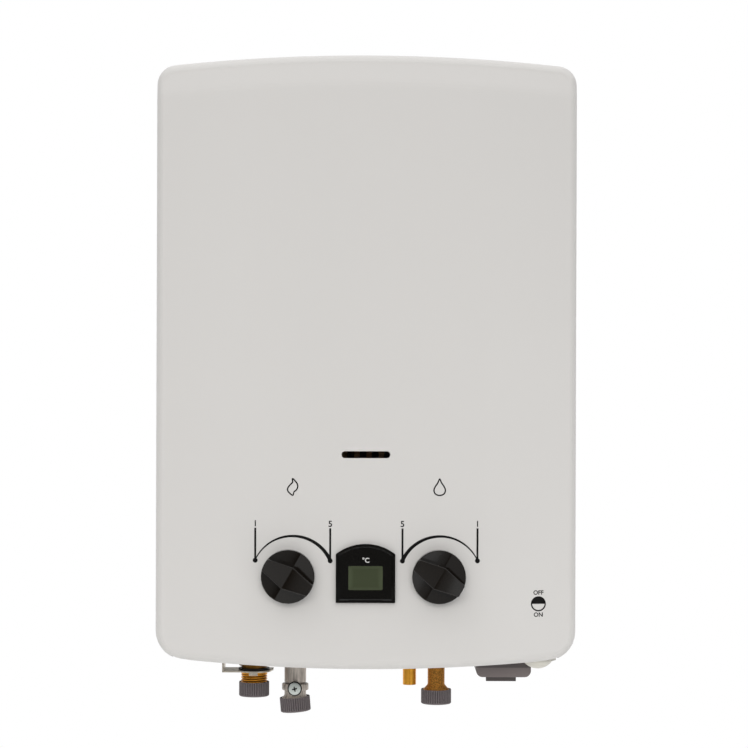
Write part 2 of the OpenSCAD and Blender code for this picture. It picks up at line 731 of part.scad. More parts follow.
igniter_x = -12;
igniter_w = 48;
igniter_d = 38;
igniter_h = 26;
igniter_foot = 4;
socket_count = 4;
socket_r = 3;
socket_depth = 8;
module igniter_module() color(black) translate([igniter_x, -pipe_y, floor_top]) difference() {
    union() {
        box(-igniter_w / 2 + igniter_foot, igniter_w / 2 - igniter_foot, -igniter_d / 2, igniter_d / 2,
            igniter_foot, igniter_h);
        box(-igniter_w / 2, igniter_w / 2, -igniter_d / 2, igniter_d / 2, 0, igniter_foot);
    }
    for (i = [0 : socket_count - 1])
        translate([(i - (socket_count - 1) / 2) * 3 * socket_r, 0, 0])
            along_z(socket_r, igniter_h - socket_depth, igniter_h + past);
}

thermostat_r = 8;
thermostat_l = 8;
thermostat_rise = 60;
thermostat_back = 20;
tab_l = 7;
tab_w = 3;
tab_t = 0.8;
module overheat_thermostat() color(zinc)
    translate([chamber_w / 2, heat_y + thermostat_back, chamber_low + thermostat_rise]) {
        along_x(1.5 * thermostat_r, 0, plate_t);
        along_x(thermostat_r, plate_t, plate_t + thermostat_l);
        for (s = [-1, 1]) translate([plate_t + thermostat_l, s * thermostat_r / 2, 0])
            box(0, tab_l, -tab_w / 2, tab_w / 2, -tab_t / 2, tab_t / 2);
    }

// Gas valve: barrel along the push rod, boss for the spindle, legs down to the inlet and up to the manifold
valve_y = -82;
boss_r = 12;
boss_l = 44;
barrel_r = 22;
barrel_left = 27;
barrel_right = 29;
barrel_flange = 4;
solenoid_seat_r = 18;
leg_half = 13;
leg_rear = 12;
leg_start = 8;
inlet_flange = [17, 15, 4];
inlet_drop = 32;
rod_r = 2.5;
rod_bore_start = 5;
spindle_room = 5;
spindle_seat = 24;
inlet_bore_stop = 14;
gas_face_x = left_knob_x + barrel_right;
inlet_top = control_z - inlet_drop;
module gas_valve_body() color(cast_grey) translate([left_knob_x, valve_y, control_z]) difference() {
    stub_y = manifold_y - valve_y;
    union() {
        along_x(barrel_r, -barrel_left, barrel_right - barrel_flange);
        along_x(barrel_r + barrel_flange, barrel_right - barrel_flange, barrel_right);
        along_x(solenoid_seat_r, -barrel_left - barrel_flange, -barrel_left);
        along_y(boss_r, -boss_l, 0);
        box(-leg_half, leg_half, stub_y - stub_flange[1], stub_y + leg_rear,
            leg_start, valve_rise - stub_flange[2]);
        translate([0, stub_y, 0]) flange_box(stub_flange, valve_rise - stub_flange[2], valve_rise);
        translate([gas_x - left_knob_x, -pipe_y - valve_y, 0]) {
            along_z(leg_half, -inlet_drop, 0);
            flange_box(inlet_flange, -inlet_drop, -inlet_drop + inlet_flange[2]);
        }
    }
    along_y(spindle_r + fit, -boss_l - past, -spindle_seat + past);
    along_x(rod_r + fit, rod_bore_start, barrel_right + past);
    translate([0, stub_y, 0]) along_z(stub_r - manifold_wall, spindle_r + spindle_room, valve_rise + past);
    translate([gas_x - left_knob_x, -pipe_y - valve_y, 0])
        along_z(gas_bore_r, -inlet_drop - past, -inlet_bore_stop);
}

solenoid_r = 15;
solenoid_l = 28;
solenoid_stub = 3;
solenoid_stub_r = 8;
module solenoid_valve() color(black)
    translate([left_knob_x - barrel_left - barrel_flange - solenoid_l, valve_y, control_z]) {
        along_x(solenoid_r, 0, solenoid_l);
        along_x(solenoid_stub_r, -solenoid_stub, 0);
    }

// Control spindle with its end inside the knob and a ring in front of the valve's boss
knob_off = 1.2;
knob_hole_r = 11;
spindle_in = 8;
spindle_ring = 2;
spindle_ring_l = 2.7;
knob_base = -(body_d + knob_off);
module spindle(x) color(zinc) translate([x, 0, control_z]) {
    ring_rear = valve_y - boss_l - seat_gap;
    along_y(spindle_r, knob_base - knob_h + spindle_in, valve_y - spindle_seat);
    along_y(spindle_r + spindle_ring, ring_rear - spindle_ring_l, ring_rear);
}
module flame_spindle() spindle(left_knob_x);
module water_spindle() spindle(right_knob_x);

// Knob: round skirt with a valley across each wing, and a grip that is wide at its middle
wing_low = 6;
wing_high = 9;
wing_edge = 1;
grip_fall = 2.6;
knob_draft = 1.6;
knob_wall = 2.5;
knob_hollow = 3;
hub_wall = 3.5;
spindle_end_room = 0.5;
module knob(x) color(black) translate([x, knob_base, control_z]) rotate([90, grip_slant, 0]) difference() {
    skirt_h = wing_high - wing_edge;
    intersection() {
        union() {
            cylinder(d = knob_d, h = skirt_h);
            translate([0, 0, skirt_h]) cylinder(d1 = knob_d, d2 = knob_d - knob_draft, h = knob_h - skirt_h);
        }
        union() {
            across(knob_d) gable(wing_low, 2 * wing_high - wing_low);
            intersection() {
                linear_extrude(knob_h) polygon([for (s = [-1, 1]) each [[-s * knob_d / 2, s * grip_end_w / 2],
                    [0, s * grip_w / 2], [s * knob_d / 2, s * grip_end_w / 2]]]);
                across(knob_d) gable(knob_h, knob_h - 2 * grip_fall);
            }
        }
    }
    translate([0, 0, -past])
        cylinder(r = spindle_r + fit / 2, h = knob_h - spindle_in + spindle_end_room + past);
    translate([0, 0, -past]) difference() {
        cylinder(d = knob_d - 2 * knob_wall, h = knob_hollow + past);
        cylinder(r = spindle_r + hub_wall, h = knob_hollow + 2 * past);
    }
}
// Side profile as wide as two knobs, with one height at its middle and another at its ends
module gable(middle, ends) polygon([[-knob_d, 0], [knob_d, 0], [knob_d, ends], [0, middle], [-knob_d, ends]]);
// Extrudes a side profile across the knob
module across(w) rotate([90, 0, 0]) linear_extrude(w, center = true) children();
module flame_knob() knob(left_knob_x);
module water_knob() knob(right_knob_x);

// Gas inlet: cast tube with a collar, a pressure tap in front and a flared threaded end
gas_tube_r = 8.6;
gas_bore_r = 6.5;
gas_ring_r = 10.5;
gas_ring_h = 5.3;
gas_ring_rise = 6.4;
gas_cap_room = 2;
gas_thread_l = 8.5;
gas_flare = 2.4;
tap_r = 5.2;
tap_out = 2.5;
tap_hole_r = 1.6;
tap_screw_r = 1.5;
tap_head_r = 4.8;
tap_head_h = 2.4;
tap_dome_r = 6.4;
tap_flat = 0.2;
tap_end_room = 0.6;
gas_end = bottom_z - gas_drop + gas_cap_room;
gas_thread_top = gas_end + gas_thread_l;
gas_ring_low = gas_thread_top + gas_ring_rise;
tap_y = -gas_ring_r - tap_out;
tap_z = gas_ring_low + gas_ring_h / 2;
module gas_inlet() color(cast_grey) at_pipe(gas_x) difference() {
    union() {
        along_z(gas_tube_r, gas_thread_top + gas_flare / 2, inlet_top);
        flange_box(inlet_flange, inlet_top - inlet_flange[2], inlet_top);
        along_z(gas_ring_r, gas_ring_low, gas_ring_low + gas_ring_h);
        translate([0, 0, tap_z]) along_y(tap_r, tap_y, 0);
        cone_z(thread_r, gas_tube_r, gas_thread_top, gas_thread_top + gas_flare);
        along_z(thread_r, gas_end, gas_thread_top);
    }
    along_z(gas_bore_r, gas_end - past, inlet_top + past);
    translate([0, 0, tap_z]) along_y(tap_hole_r, tap_y - past, -gas_bore_r - tap_end_room);
}
module pressure_tap_screw() color(zinc) at_pipe(gas_x) translate([0, tap_y, tap_z]) {
    along_y(tap_screw_r, 0, -tap_y - gas_bore_r - past);
    intersection() {
        along_y(tap_head_r, -tap_head_h, 0);
        translate([0, tap_dome_r - tap_head_h - tap_flat, 0]) sphere(r = tap_dome_r);
    }
}

// Transport caps: thin cups over the threads, their floor just below the pipe's end
cap_wall = 0.5;
cap_floor = 0.8;
module cap() color(cap_grey) difference() {
    along_z(cap_d / 2, 0, cap_l);
    along_z(cap_d / 2 - cap_wall, cap_floor, cap_l + past);
}
module hot_cap() at_pipe(hot_x) translate([0, 0, bottom_z - hot_drop]) cap();
module cold_cap() at_pipe(cold_x) translate([0, 0, bottom_z - cold_drop]) cap();
module gas_cap() at_pipe(gas_x) translate([0, 0, gas_end + gas_thread_l / 2]) rotate([0, -gas_cap_lean, 0])
    translate([0, 0, -gas_cap_room - gas_thread_l / 2]) cap();

// Water valve with the diaphragm's flange facing the gas valve
flange_half = 6.5;
disc_r = 31;
chamber_r = 22;
bolt_in = 4.2;
neck_r = 15;
stem_r = 17;
stem_top = 30;
relief_socket = [5.7, 4];
cold_socket_r = 12;
cold_way_r = 4;
cold_way_stop = 10;
water_out_z = 14;
water_out_r = 9;
water_out_l = 30;
water_way_start = 10;
module water_valve_body() color(brass) translate([right_knob_x, valve_y, control_z]) difference() {
    connection_y = -pipe_y - valve_y;
    union() {
        along_z(stem_r, -inlet_drop, stem_top);
        along_y(boss_r, -boss_l, 0);
        translate([relief_x - right_knob_x, 0, 0]) {
            along_x(disc_r, -flange_half, flange_half);
            along_x(neck_r, 0, right_knob_x - relief_x);
            translate([0, connection_y, 0]) along_z(relief_socket[0], -inlet_drop - relief_socket[1], 0);
        }
        translate([cold_x - right_knob_x, connection_y, 0]) along_z(cold_socket_r, -inlet_drop, 0);
        translate([0, tube_y(0) - valve_y, water_out_z]) along_x(water_out_r, 0, water_out_l);
    }
    along_y(spindle_r + fit, -boss_l - past, -spindle_seat + past);
    translate([relief_x - right_knob_x, 0, 0]) {
        along_x(chamber_r, -flange_half - past, -past);
        diaphragm_bolts() along_x(screw_r + screw_room, -flange_half - past, flange_half + past);
    }
    translate([cold_x - right_knob_x, connection_y, 0]) along_z(cold_way_r, -inlet_drop - past, -cold_way_stop);
    translate([0, tube_y(0) - valve_y, water_out_z])
        along_x(pipe_r - pipe_wall, water_way_start, water_out_l + past);
}
bolt_count = 6;
module diaphragm_bolts() for (i = [0 : bolt_count - 1])
    rotate([(i + 0.5) * 360 / bolt_count, 0, 0]) translate([0, 0, disc_r - bolt_in]) children();

disc_x = relief_x - flange_half;
disc_t = 1;
lid_t = 10;
module at_rod(x) translate([x, valve_y, control_z]) children();
module diaphragm() color(black) at_rod(disc_x) difference() {
    along_x(disc_r, -disc_t, 0);
    diaphragm_bolts() along_x(screw_r + screw_room, -disc_t - past, past);
}

// The diaphragm's cover carries the microswitch on a bent arm
arm_top = 38;
arm_low = 21;
arm_t = 3;
arm_l = 38;
arm_half = 5;
guide_r = 7;
guide_l = 5;
lid_web = 3;
module diaphragm_cover() color(brass) at_rod(disc_x - disc_t) difference() {
    union() {
        along_x(disc_r, -lid_t, 0);
        along_x(guide_r, -lid_t - guide_l, -lid_t);
        box(-lid_t - arm_t, -lid_t, -arm_half, arm_half, arm_low, arm_top);
        box(-lid_t - arm_l, -lid_t, -arm_half, arm_half, arm_top - arm_t, arm_top);
    }
    along_x(chamber_r, -lid_t + lid_web, past);
    along_x(rod_r + fit, -lid_t - guide_l - past, 0);
    diaphragm_bolts() along_x(screw_r + screw_room, -lid_t - past, past);
}
bolt_head_r = 3.2;
module diaphragm_screws() color(zinc) at_rod(disc_x - disc_t) diaphragm_bolts() {
    along_x(bolt_head_r, -lid_t - head_h, -lid_t);
    along_x(screw_r, -lid_t, disc_t + 2 * flange_half);
}

// Push rod from the diaphragm into the gas valve, with a spring seat and a trip collar
push_plate_r = 20;
push_plate_t = 1.4;
rod_in = 12;
trip_back = 27;
trip_r = 8;
trip_t = 3;
seat_off = 18;
seat_r = 6;
seat_t = 2;
plate_x = disc_x - disc_t - seat_gap;
trip_x = disc_x - trip_back;
seat_x = gas_face_x + seat_off;
module push_rod() color(zinc) at_rod(0) {
    along_x(push_plate_r, plate_x - push_plate_t, plate_x);
    along_x(rod_r, gas_face_x - rod_in, plate_x - disc_t);
    along_x(trip_r, trip_x, trip_x + trip_t);
    along_x(seat_r, seat_x, seat_x + seat_t);
}

spring_turns = 6;
turn_steps = 12;
spring_r = 4.4;
wire_r = 0.6;
wire_sides = 6;
function coil_point(i, steps) =
    let (a = 360 * spring_turns * i / steps, l = seat_off - 2 * wire_r - seat_gap)
    [gas_face_x + wire_r + seat_gap / 2 + l * i / steps, spring_r * cos(a), spring_r * sin(a)];
module rod_spring() color(zinc) at_rod(0) {
    steps = spring_turns * turn_steps;
    turn = 360 / wire_sides;
    rings = [for (i = [0 : steps]) let (p = coil_point(i, steps), out = unit([0, p[1], p[2]]))
        for (k = [0 : wire_sides - 1]) p + wire_r * (cos(turn * k) * out + [sin(turn * k), 0, 0])];
    polyhedron(rings, concat(
        flat([for (i = [0 : steps - 1]) for (k = [0 : wire_sides - 1])
            let (a = i * wire_sides, b = a + wire_sides, j = (k + 1) % wire_sides)
            quad(a + k, b + k, b + j, a + j)]),
        [[for (k = [0 : wire_sides - 1]) k], [for (k = [wire_sides - 1 : -1 : 0]) steps * wire_sides + k]]));
}

// Microswitch under the arm; its lever hangs beside the trip collar
switch_case_h = 12;
switch_case_half = 3.5;
switch_case_left = 17;
switch_case_right = 3;
ear_half = 2.5;
ear_t = 1.2;
ear_l = 4;
pivot_drop = 2;
pivot_r = 1;
trip_lead = 1.5;
lever_t = 0.7;
lever_half = 2;
lever_low = 7.2;
switch_low = arm_top - arm_t - switch_case_h;
pivot_z = switch_low - pivot_drop;
pivot_x = trip_x - trip_lead;
module microswitch() color(black) at_rod(pivot_x) difference() {
    union() {
        box(-switch_case_left, switch_case_right, -switch_case_half, switch_case_half,
            switch_low, arm_top - arm_t);
        for (y = [-switch_case_half, switch_case_half - ear_t])
            box(-ear_half, ear_half, y, y + ear_t, switch_low - ear_l, switch_low);
    }
    translate([0, 0, pivot_z]) along_y(pivot_r + fit, -switch_case_half - past, switch_case_half + past);
}
module microswitch_lever() color(zinc) at_rod(pivot_x) {
    rest_x = trip_lead - seat_gap;
    translate([0, 0, pivot_z]) along_y(pivot_r, -switch_case_half + fit, switch_case_half - fit);
    box(rest_x - lever_t, rest_x, -lever_half, lever_half, lever_low, pivot_z);
}

// Cold inlet, relief valve and the pipes to and from the exchanger
cold_tube_r = 6.75;
cold_bore_r = 4.6;
cold_thread_l = 10;
cold_flare = 4.4;
cold_collar_r = 10;
cold_collar_h = 6;
cold_end = bottom_z - cold_drop + cap_floor + seat_gap;
cold_thread_top = cold_end + cold_thread_l;
module cold_inlet() color(brass) at_pipe(cold_x) difference() {
    union() {
        along_z(cold_tube_r, cold_thread_top + cold_flare / 2, inlet_top);
        cone_z(thread_r, cold_tube_r, cold_thread_top, cold_thread_top + cold_flare);
        along_z(thread_r, cold_end, cold_thread_top);
        along_z(cold_collar_r, inlet_top - cold_collar_h, inlet_top);
    }
    along_z(cold_bore_r, cold_end - past, inlet_top + past);
}

relief_r = 5.25;
relief_step = 0.5;
relief_bore_r = 3.4;
relief_bore_stop = 8;
relief_flats = 13;
relief_hex_h = 10;
relief_hex_drop = 12;
relief_top = inlet_top - relief_socket[1];
module relief_valve() color(brass) at_pipe(relief_x) difference() {
    union() {
        along_z(relief_r, bottom_z - relief_drop, bottom_z + past);
        along_z(relief_r + relief_step, bottom_z, relief_top);
        hex_z(relief_flats, relief_top - relief_hex_drop, relief_top - relief_hex_drop + relief_hex_h);
    }
    along_z(relief_bore_r, bottom_z - relief_drop - past, relief_top - relief_bore_stop);
}

nut_l = 7;
bend_r = 11;
bend_room = 0.5;
riser_x = tube_end + nut_l / 2 + bend_r + bend_room;
feed_z = control_z + water_out_z;
feed_x = right_knob_x + water_out_l + seat_gap;
module cold_feed_pipe() color(copper) tube_run([[feed_x, tube_y(0), feed_z], [riser_x, tube_y(0), feed_z],
    [riser_x, tube_y(0), tube_z], [tube_end + seat_gap, tube_y(0), tube_z]], bend_r);

hot_turn_rise = 24;
hot_top_rise = 9;
hot_turn_z = floor_top + hot_turn_rise;
hot_top = floor_top + hot_top_rise;
hot_run_y = tube_y(last_tube);
module hot_pipe() color(copper) tube_run([[-tube_end - seat_gap, hot_run_y, tube_z],
    [-riser_x, hot_run_y, tube_z], [-riser_x, hot_run_y, hot_turn_z], [hot_x, hot_run_y, hot_turn_z],
    [hot_x, -pipe_y, hot_turn_z], [hot_x, -pipe_y, hot_top]], bend_r);

// Union nuts where the pipes meet the water valve and the exchanger
nut_room = 0.5;
nut_flats = 2 * (tube_pitch - pipe_r - nut_room);
module union_nut(x, y, z) translate([x, y, z]) rotate([0, 90, 0]) difference() {
    hex_z(nut_flats, 0, nut_l);
    along_z(pipe_r + fit, -past, nut_l + past);
}
module pipe_nuts() color(brass) {
    union_nut(feed_x + seat_gap, tube_y(0), feed_z);
    union_nut(tube_end - nut_l / 2, tube_y(0), tube_z);
    union_nut(-tube_end - nut_l / 2, hot_run_y, tube_z);
}

probe_wall = 2.5;
probe_h = 12;
probe_r = 4;
module temperature_probe() color(zinc) translate([-riser_x, hot_run_y, chamber_low]) difference() {
    union() {
        along_z(pipe_r + probe_wall, 0, probe_h);
        translate([0, 0, probe_h / 2]) along_y(probe_r, -pipe_r - probe_h, 0);
    }
    along_z(pipe_r + fit, -past, probe_h + past);
}

// Hot outlet with its spring clip and the bracket that holds it: a round eye on an arm, with a front tongue
bracket_drop = 10.3;
bracket_t = 1.2;
thread_stop = 1.6;
neck_step = 0.3;
neck_room = 0.2;
hot_shoulder_r = 12;
shoulder_h = 1.4;
shoulder_drop = 4;
clip_t = 1.3;
clip_r = 12.4;
clip_gap = 6;
groove_r = 8.8;
hot_end = bottom_z - hot_drop + cap_floor + seat_gap;
bracket_low = bottom_z - bracket_drop;
bracket_top = bracket_low + bracket_t;
groove_top = bracket_top + clip_t + 2 * seat_gap;
hot_thread_l = bracket_low - thread_stop - hot_end;
hot_neck_r = thread_r - neck_step;
module hot_outlet() color(brass) at_pipe(hot_x) difference() {
    union() {
        along_z(thread_r, hot_end, hot_end + hot_thread_l);
        along_z(hot_neck_r, hot_end + hot_thread_l, bracket_top + seat_gap);
        along_z(groove_r, bracket_top, groove_top);
        along_z(hot_neck_r, groove_top, hot_top - seat_gap);
        along_z(hot_shoulder_r, bottom_z - shoulder_drop - shoulder_h, bottom_z - shoulder_drop);
    }
    along_z(pipe_r - pipe_wall, hot_end - past, hot_top + past);
}
module outlet_clip() color(zinc) at_pipe(hot_x) translate([0, 0, bracket_top + seat_gap]) difference() {
    along_z(clip_r, 0, clip_t);
    along_z(groove_r + fit, -past, clip_t + past);
    box(-clip_gap, clip_gap, 0, 2 * clip_r, -past, clip_t + past);
}
eye_r = 14;
bracket_rear = 14.5;
bracket_left_l = 25;
bracket_right_l = 15;
arm_front = 10;
arm_in = 11;
arm_rise = 7;
stop_front = 3;
bracket_left = hot_x - bracket_left_l;
bracket_right = hot_x + bracket_right_l;
tongue_half = 3.4;
tongue_drop = 2.1;
foot_l = 15;
foot_half = 10;
bracket_screw_in = 8;
bracket_screw_x = bracket_left - bracket_screw_in;
module outlet_bracket() color([0.78, 0.74, 0.68]) difference() {
    translate([0, -pipe_y, 0]) {
        translate([0, 0, bracket_low]) linear_extrude(bracket_t) {
            translate([hot_x, 0]) circle(r = eye_r);
            polygon([[bracket_left, -arm_front], [hot_x - arm_in, arm_rise], [hot_x, stop_front],
                [bracket_right, stop_front], [bracket_right, bracket_rear], [bracket_left, bracket_rear]]);
        }
        box(bracket_left, bracket_left + bracket_t, -arm_front, bracket_rear, bracket_low, floor_z);
        box(bracket_left - foot_l, bracket_left + bracket_t, -foot_half, foot_half,
            floor_z - bracket_t, floor_z);
        box(hot_x - tongue_half, hot_x + tongue_half, -eye_r - bracket_t / 2, -eye_r + bracket_t / 2,
            bracket_low - tongue_drop, bracket_top);
    }
    at_pipe(hot_x) along_z(hot_neck_r + neck_room, bracket_low - past, bracket_top + past);
    at_pipe(bracket_screw_x) along_z(screw_r + screw_room, floor_z - bracket_t - past, floor_z + past);
}

// Display
display_drop = 20.1;
window_drop = 1.2;
window_corner = 0.9;
bezel_t = 3.2;
bezel_lap = 3;
bezel_rim = 2;
bezel_recess = 0.8;
bezel_off = 0.1;
bezel_depth = 12;
bezel_lip = 1.8;
snap_r = 0.9;
snap_half = 4;
snap_back = 1.2;
glass_lap = 1.5;
glass_t = 2.55;
board_t = 1.6;
board_in = 4;
board_hole_r = 1;
board_hole_in = 2.5;
board_step = 0.3;
display_low = control_z - display_drop;
bezel_back = -(body_d + bezel_off);
bezel_front = bezel_back - bezel_t;
window_mid = control_z - window_drop;
glass_y = bezel_front + bezel_lip + bezel_off / 2;
board_rear = bezel_back + bezel_depth;
module display2d(inset) translate([0, display_low]) intersection() {
    r = sagitta_r(display_w / 2, display_arch);
    translate([-display_w / 2 + inset, inset])
        square([display_w - 2 * inset, display_h + display_arch - inset]);
    translate([0, display_h + display_arch - r]) circle(r = r - inset);
}
// The bezel's window, a rectangle with rounded corners
module window2d() {
    half_across = glass_w / 2 - window_corner;
    half_up = glass_h / 2 - window_corner;
    translate([-glass_w / 2, -half_up]) square([glass_w, 2 * half_up]);
    translate([-half_across, -glass_h / 2]) square([2 * half_across, glass_h]);
    for (x = [-half_across, half_across]) for (z = [-half_up, half_up])
        translate([x, z]) circle(r = window_corner);
}
// A box that is the display's glass grown on all sides
module glass_box(grow, y0, y1) translate([0, 0, window_mid])
    box(-glass_w / 2 - grow, glass_w / 2 + grow, y0, y1, -glass_h / 2 - grow, glass_h / 2 + grow);
module display_bezel() color(black) difference() {
    sleeve_half = display_w / 2 - bezel_lap - fit;
    sleeve_low = display_low + bezel_lap + fit;
    sleeve_top = display_low + display_h - bezel_lap - fit;
    union() {
        slab(bezel_front, bezel_back) display2d(0);
        box(-sleeve_half, sleeve_half, bezel_back, board_rear, sleeve_low, sleeve_top);
        for (z = [sleeve_low, sleeve_top]) for (s = [-1, 1])
            translate([s * display_w / 4, bezel_back + bezel_off + cover_t + snap_back, z])
                along_x(snap_r, -snap_half, snap_half);
    }
    slab(bezel_front - past, bezel_front + bezel_recess) display2d(bezel_rim);
    translate([0, 0, window_mid]) slab(bezel_front - past, bezel_back) window2d();
    glass_box(glass_lap, bezel_front + bezel_lip, board_rear + past);
}
module display_glass() color([0.26, 0.28, 0.21]) glass_box(glass_lap - fit, glass_y, glass_y + glass_t);
module display_board() color([0.10, 0.32, 0.16]) difference() {
    half = display_w / 2 - board_in;
    union() {
        glass_box(glass_lap - board_step, glass_y + glass_t + fit, board_rear);
        box(-half, half, board_rear, board_rear + board_t,
            display_low + board_in, display_low + display_h - board_in);
    }
    for (s = [-1, 1]) translate([s * (half - board_hole_in), 0, display_low + board_in + board_hole_in])
        along_y(board_hole_r, board_rear - past, board_rear + board_t + past);
}

// Power switch and battery box share the depth between the tray's rim and the bowed front
cell_side_room = 0.8;
cell_gap = 1;
box_wall = 2.2;
mouth_rim = 2.6;
housing_wall = 1.2;
well_in = 0.8;
battery_share = 0.62;
battery_x = half_w - battery_in;
switch_x = half_w - switch_in;
well_r = rocker_r - well_in;
housing_r = well_r + housing_wall;
box_half_w = cell_d / 2 + cell_side_room + box_wall;
box_half_d = cell_d + cell_gap + box_wall;
mouth_half_w = lid_w / 2 + mouth_rim;
mouth_half_d = box_half_d + mouth_rim;
depth_spare = body_d - bow_at(switch_x) - tray_d - 2 * mouth_half_d - 2 * housing_r - seat_gap;
battery_y = -(tray_d + battery_share * depth_spare + mouth_half_d);
switch_y = battery_y - mouth_half_d - housing_r - seat_gap;

// Battery box through the floor, with two upright cells and a lid that swings on a rear pin
mouth_h = 9;
cells_rise = 5;
roof_t = 2.2;
contact_room = 1.2;
contact_half = 9;
cell_step = 2;
cell_tip_r = 5;
knuckle_r = 3;
mouth_low = floor_z - mouth_h;
cells_low = mouth_low + cells_rise;
cells_top = cells_low + cell_l;
module at_battery() translate([battery_x, battery_y, 0]) children();
module at_cells() at_battery() for (s = [-1, 1]) translate([0, s * (cell_d + cell_gap) / 2, 0]) children();
module battery_box() color(white) at_battery() difference() {
    union() {
        box(-box_half_w, box_half_w, -box_half_d, box_half_d, mouth_low, cells_top + contact_room + roof_t);
        box(-mouth_half_w, mouth_half_w, -mouth_half_d, mouth_half_d, mouth_low, floor_z);
        both_sides() translate([lid_w / 4, pin_y, pin_z]) {
            along_x(knuckle_r, -knuckle_r, knuckle_r);
            box(-knuckle_r, knuckle_r, -knuckle_r, knuckle_r, 0, mouth_low - pin_z);
        }
    }
    box(-box_half_w + box_wall, box_half_w - box_wall, -box_half_d + box_wall, box_half_d - box_wall,
        mouth_low - past, cells_top + contact_room);
    translate([0, pin_y, pin_z]) along_x(pin_r + fit / 2, -lid_w, lid_w);
}
module battery_cells() at_cells() {
    color([0.75, 0.62, 0.30]) along_z(cell_d / 2, cells_low, cells_top - cell_step);
    color(zinc) along_z(cell_tip_r, cells_top - cell_step, cells_top);
}
module battery_contacts() color(zinc) at_cells()
    box(-contact_half, contact_half, -contact_half, contact_half,
        cells_top + seat_gap, cells_top + contact_room);

lid_wall = 2;
lid_corner = 5;
lid_short = 7;
lid_edge = 1;
tab_half = 11.7;
tab_off = -2;
tab_d = 6;
tab_drop = 3.1;
post_r = 9;
post_wall = 2;
post_roof = 1.2;
pin_r = 1.5;
pin_in = 3.4;
pin_past = 0.5;
lid_low = bottom_z - lid_drop;
lid_top = mouth_low - seat_gap;
lid_half_d = mouth_half_d - lid_edge;
lid_rear = lid_half_d - lid_short;
pin_y = mouth_half_d - pin_in;
pin_z = lid_top - pin_in;
module battery_lid() color(cap_grey) difference() {
    knuckle_half = lid_w / 4 - knuckle_r - seat_gap;
    post_top = cells_low - seat_gap;
    union() {
        at_battery() {
            slab(-lid_half_d, lid_rear) difference() {
                lid_profile(0);
                lid_profile(lid_wall);
            }
            slab(-lid_half_d, -lid_half_d + lid_wall) lid_profile(0);
            slab(lid_rear - lid_wall, lid_rear) lid_profile(0);
            box(tab_off - tab_half, tab_off + tab_half, -lid_half_d, -lid_half_d + tab_d,
                lid_low - tab_drop, lid_low + past);
            translate([0, pin_y, pin_z]) {
                along_x(knuckle_r, -knuckle_half, knuckle_half);
                box(-knuckle_half, knuckle_half, lid_rear - pin_y - past, 0, -knuckle_r, 0);
            }
        }
        at_cells() difference() {
            along_z(post_r, lid_low + past, post_top);
            along_z(post_r - post_wall, lid_low + lid_wall, post_top - post_roof);
        }
    }
    at_battery() translate([0, pin_y, pin_z]) along_x(pin_r + fit, -lid_w, lid_w);
}
module lid_profile(inset) {
    corner_z = lid_low + lid_corner;
    translate([-lid_w / 2 + inset, corner_z])
        square([lid_w - 2 * inset, lid_top - corner_z + (inset > 0 ? past : 0)]);
    for (s = [-1, 1]) translate([s * (lid_w / 2 - lid_corner), corner_z]) circle(r = lid_corner - inset);
    translate([-lid_w / 2 + lid_corner, lid_low + inset]) square([lid_w - 2 * lid_corner, lid_corner + past]);
}
module lid_pin() color(zinc) at_battery() translate([0, pin_y, pin_z])
    along_x(pin_r, -lid_w / 4 - knuckle_r - pin_past, lid_w / 4 + knuckle_r + pin_past);

// Power switch: housing under the floor and a domed rocker on a cross pin
switch_neck_r = 11;
switch_neck_h = 18;
terminal_x = 5;
terminal_half = 2.4;
terminal_t = 0.8;
terminal_l = 7;
rocker_drop = 2;
housing_rise = 5;
web_half = 8;
rocker_pin_r = 1.5;
pin_bite = 0.6;
dome_z = bottom_z - rocker_drop + rocker_r;
housing_low = bottom_z + housing_rise;
rocker_pin_z = (housing_low + floor_z) / 2;
module at_switch() translate([switch_x, switch_y, 0]) children();
module rocker_housing() color([0.87, 0.86, 0.81]) at_switch() difference() {
    neck_top = floor_z + switch_neck_h;
    union() {
        along_z(housing_r, housing_low, floor_z);
        along_z(switch_neck_r, floor_z, neck_top);
        for (x = [-terminal_x, terminal_x])
            box(x - terminal_half, x + terminal_half, -terminal_t / 2, terminal_t / 2,
                neck_top, neck_top + terminal_l);
    }
    along_z(well_r, housing_low - past, floor_z - housing_wall);
    translate([0, 0, rocker_pin_z]) along_x(rocker_pin_r + fit, -rocker_r, rocker_r);
}
module rocker() color([0.87, 0.86, 0.81]) at_switch() translate([0, 0, rocker_pin_z])
    rotate([-rocker_tip, 0, 0]) {
    cut = housing_low - rocker_pin_z;
    intersection() {
        translate([0, 0, dome_z - rocker_pin_z]) sphere(r = rocker_r);
        box(-2 * rocker_r, 2 * rocker_r, -2 * rocker_r, 2 * rocker_r, -2 * rocker_r, cut);
    }
    box(-web_half, web_half, -2 * rocker_pin_r, 2 * rocker_pin_r, cut - past, 0);
    along_x(rocker_pin_r, -well_r - pin_bite, well_r + pin_bite);
}

front_cover();
back_plate();
bottom_plate();
cover_screws();
chassis_screws();
support_rails();
draft_hood();
flue_collar();
combustion_chamber();
fin_stack();
exchanger_tubes();
burner_bars();
burner_tray();
gas_manifold();
gas_injectors();
electrode_bracket();
ignition_electrode();
flame_sensor();
igniter_module();
overheat_thermostat();
temperature_probe();
gas_valve_body();
solenoid_valve();
gas_inlet();
pressure_tap_screw();
gas_cap();
flame_spindle();
flame_knob();
water_valve_body();
diaphragm();
diaphragm_cover();
diaphragm_screws();
push_rod();
rod_spring();
microswitch();
microswitch_lever();
water_spindle();
water_knob();
cold_inlet();
cold_cap();
relief_valve();
cold_feed_pipe();
hot_pipe();
pipe_nuts();
hot_outlet();
outlet_clip();
outlet_bracket();
hot_cap();
display_bezel();
display_glass();
display_board();
battery_box();
battery_cells();
battery_contacts();
battery_lid();
lid_pin();
rocker_housing();
rocker();
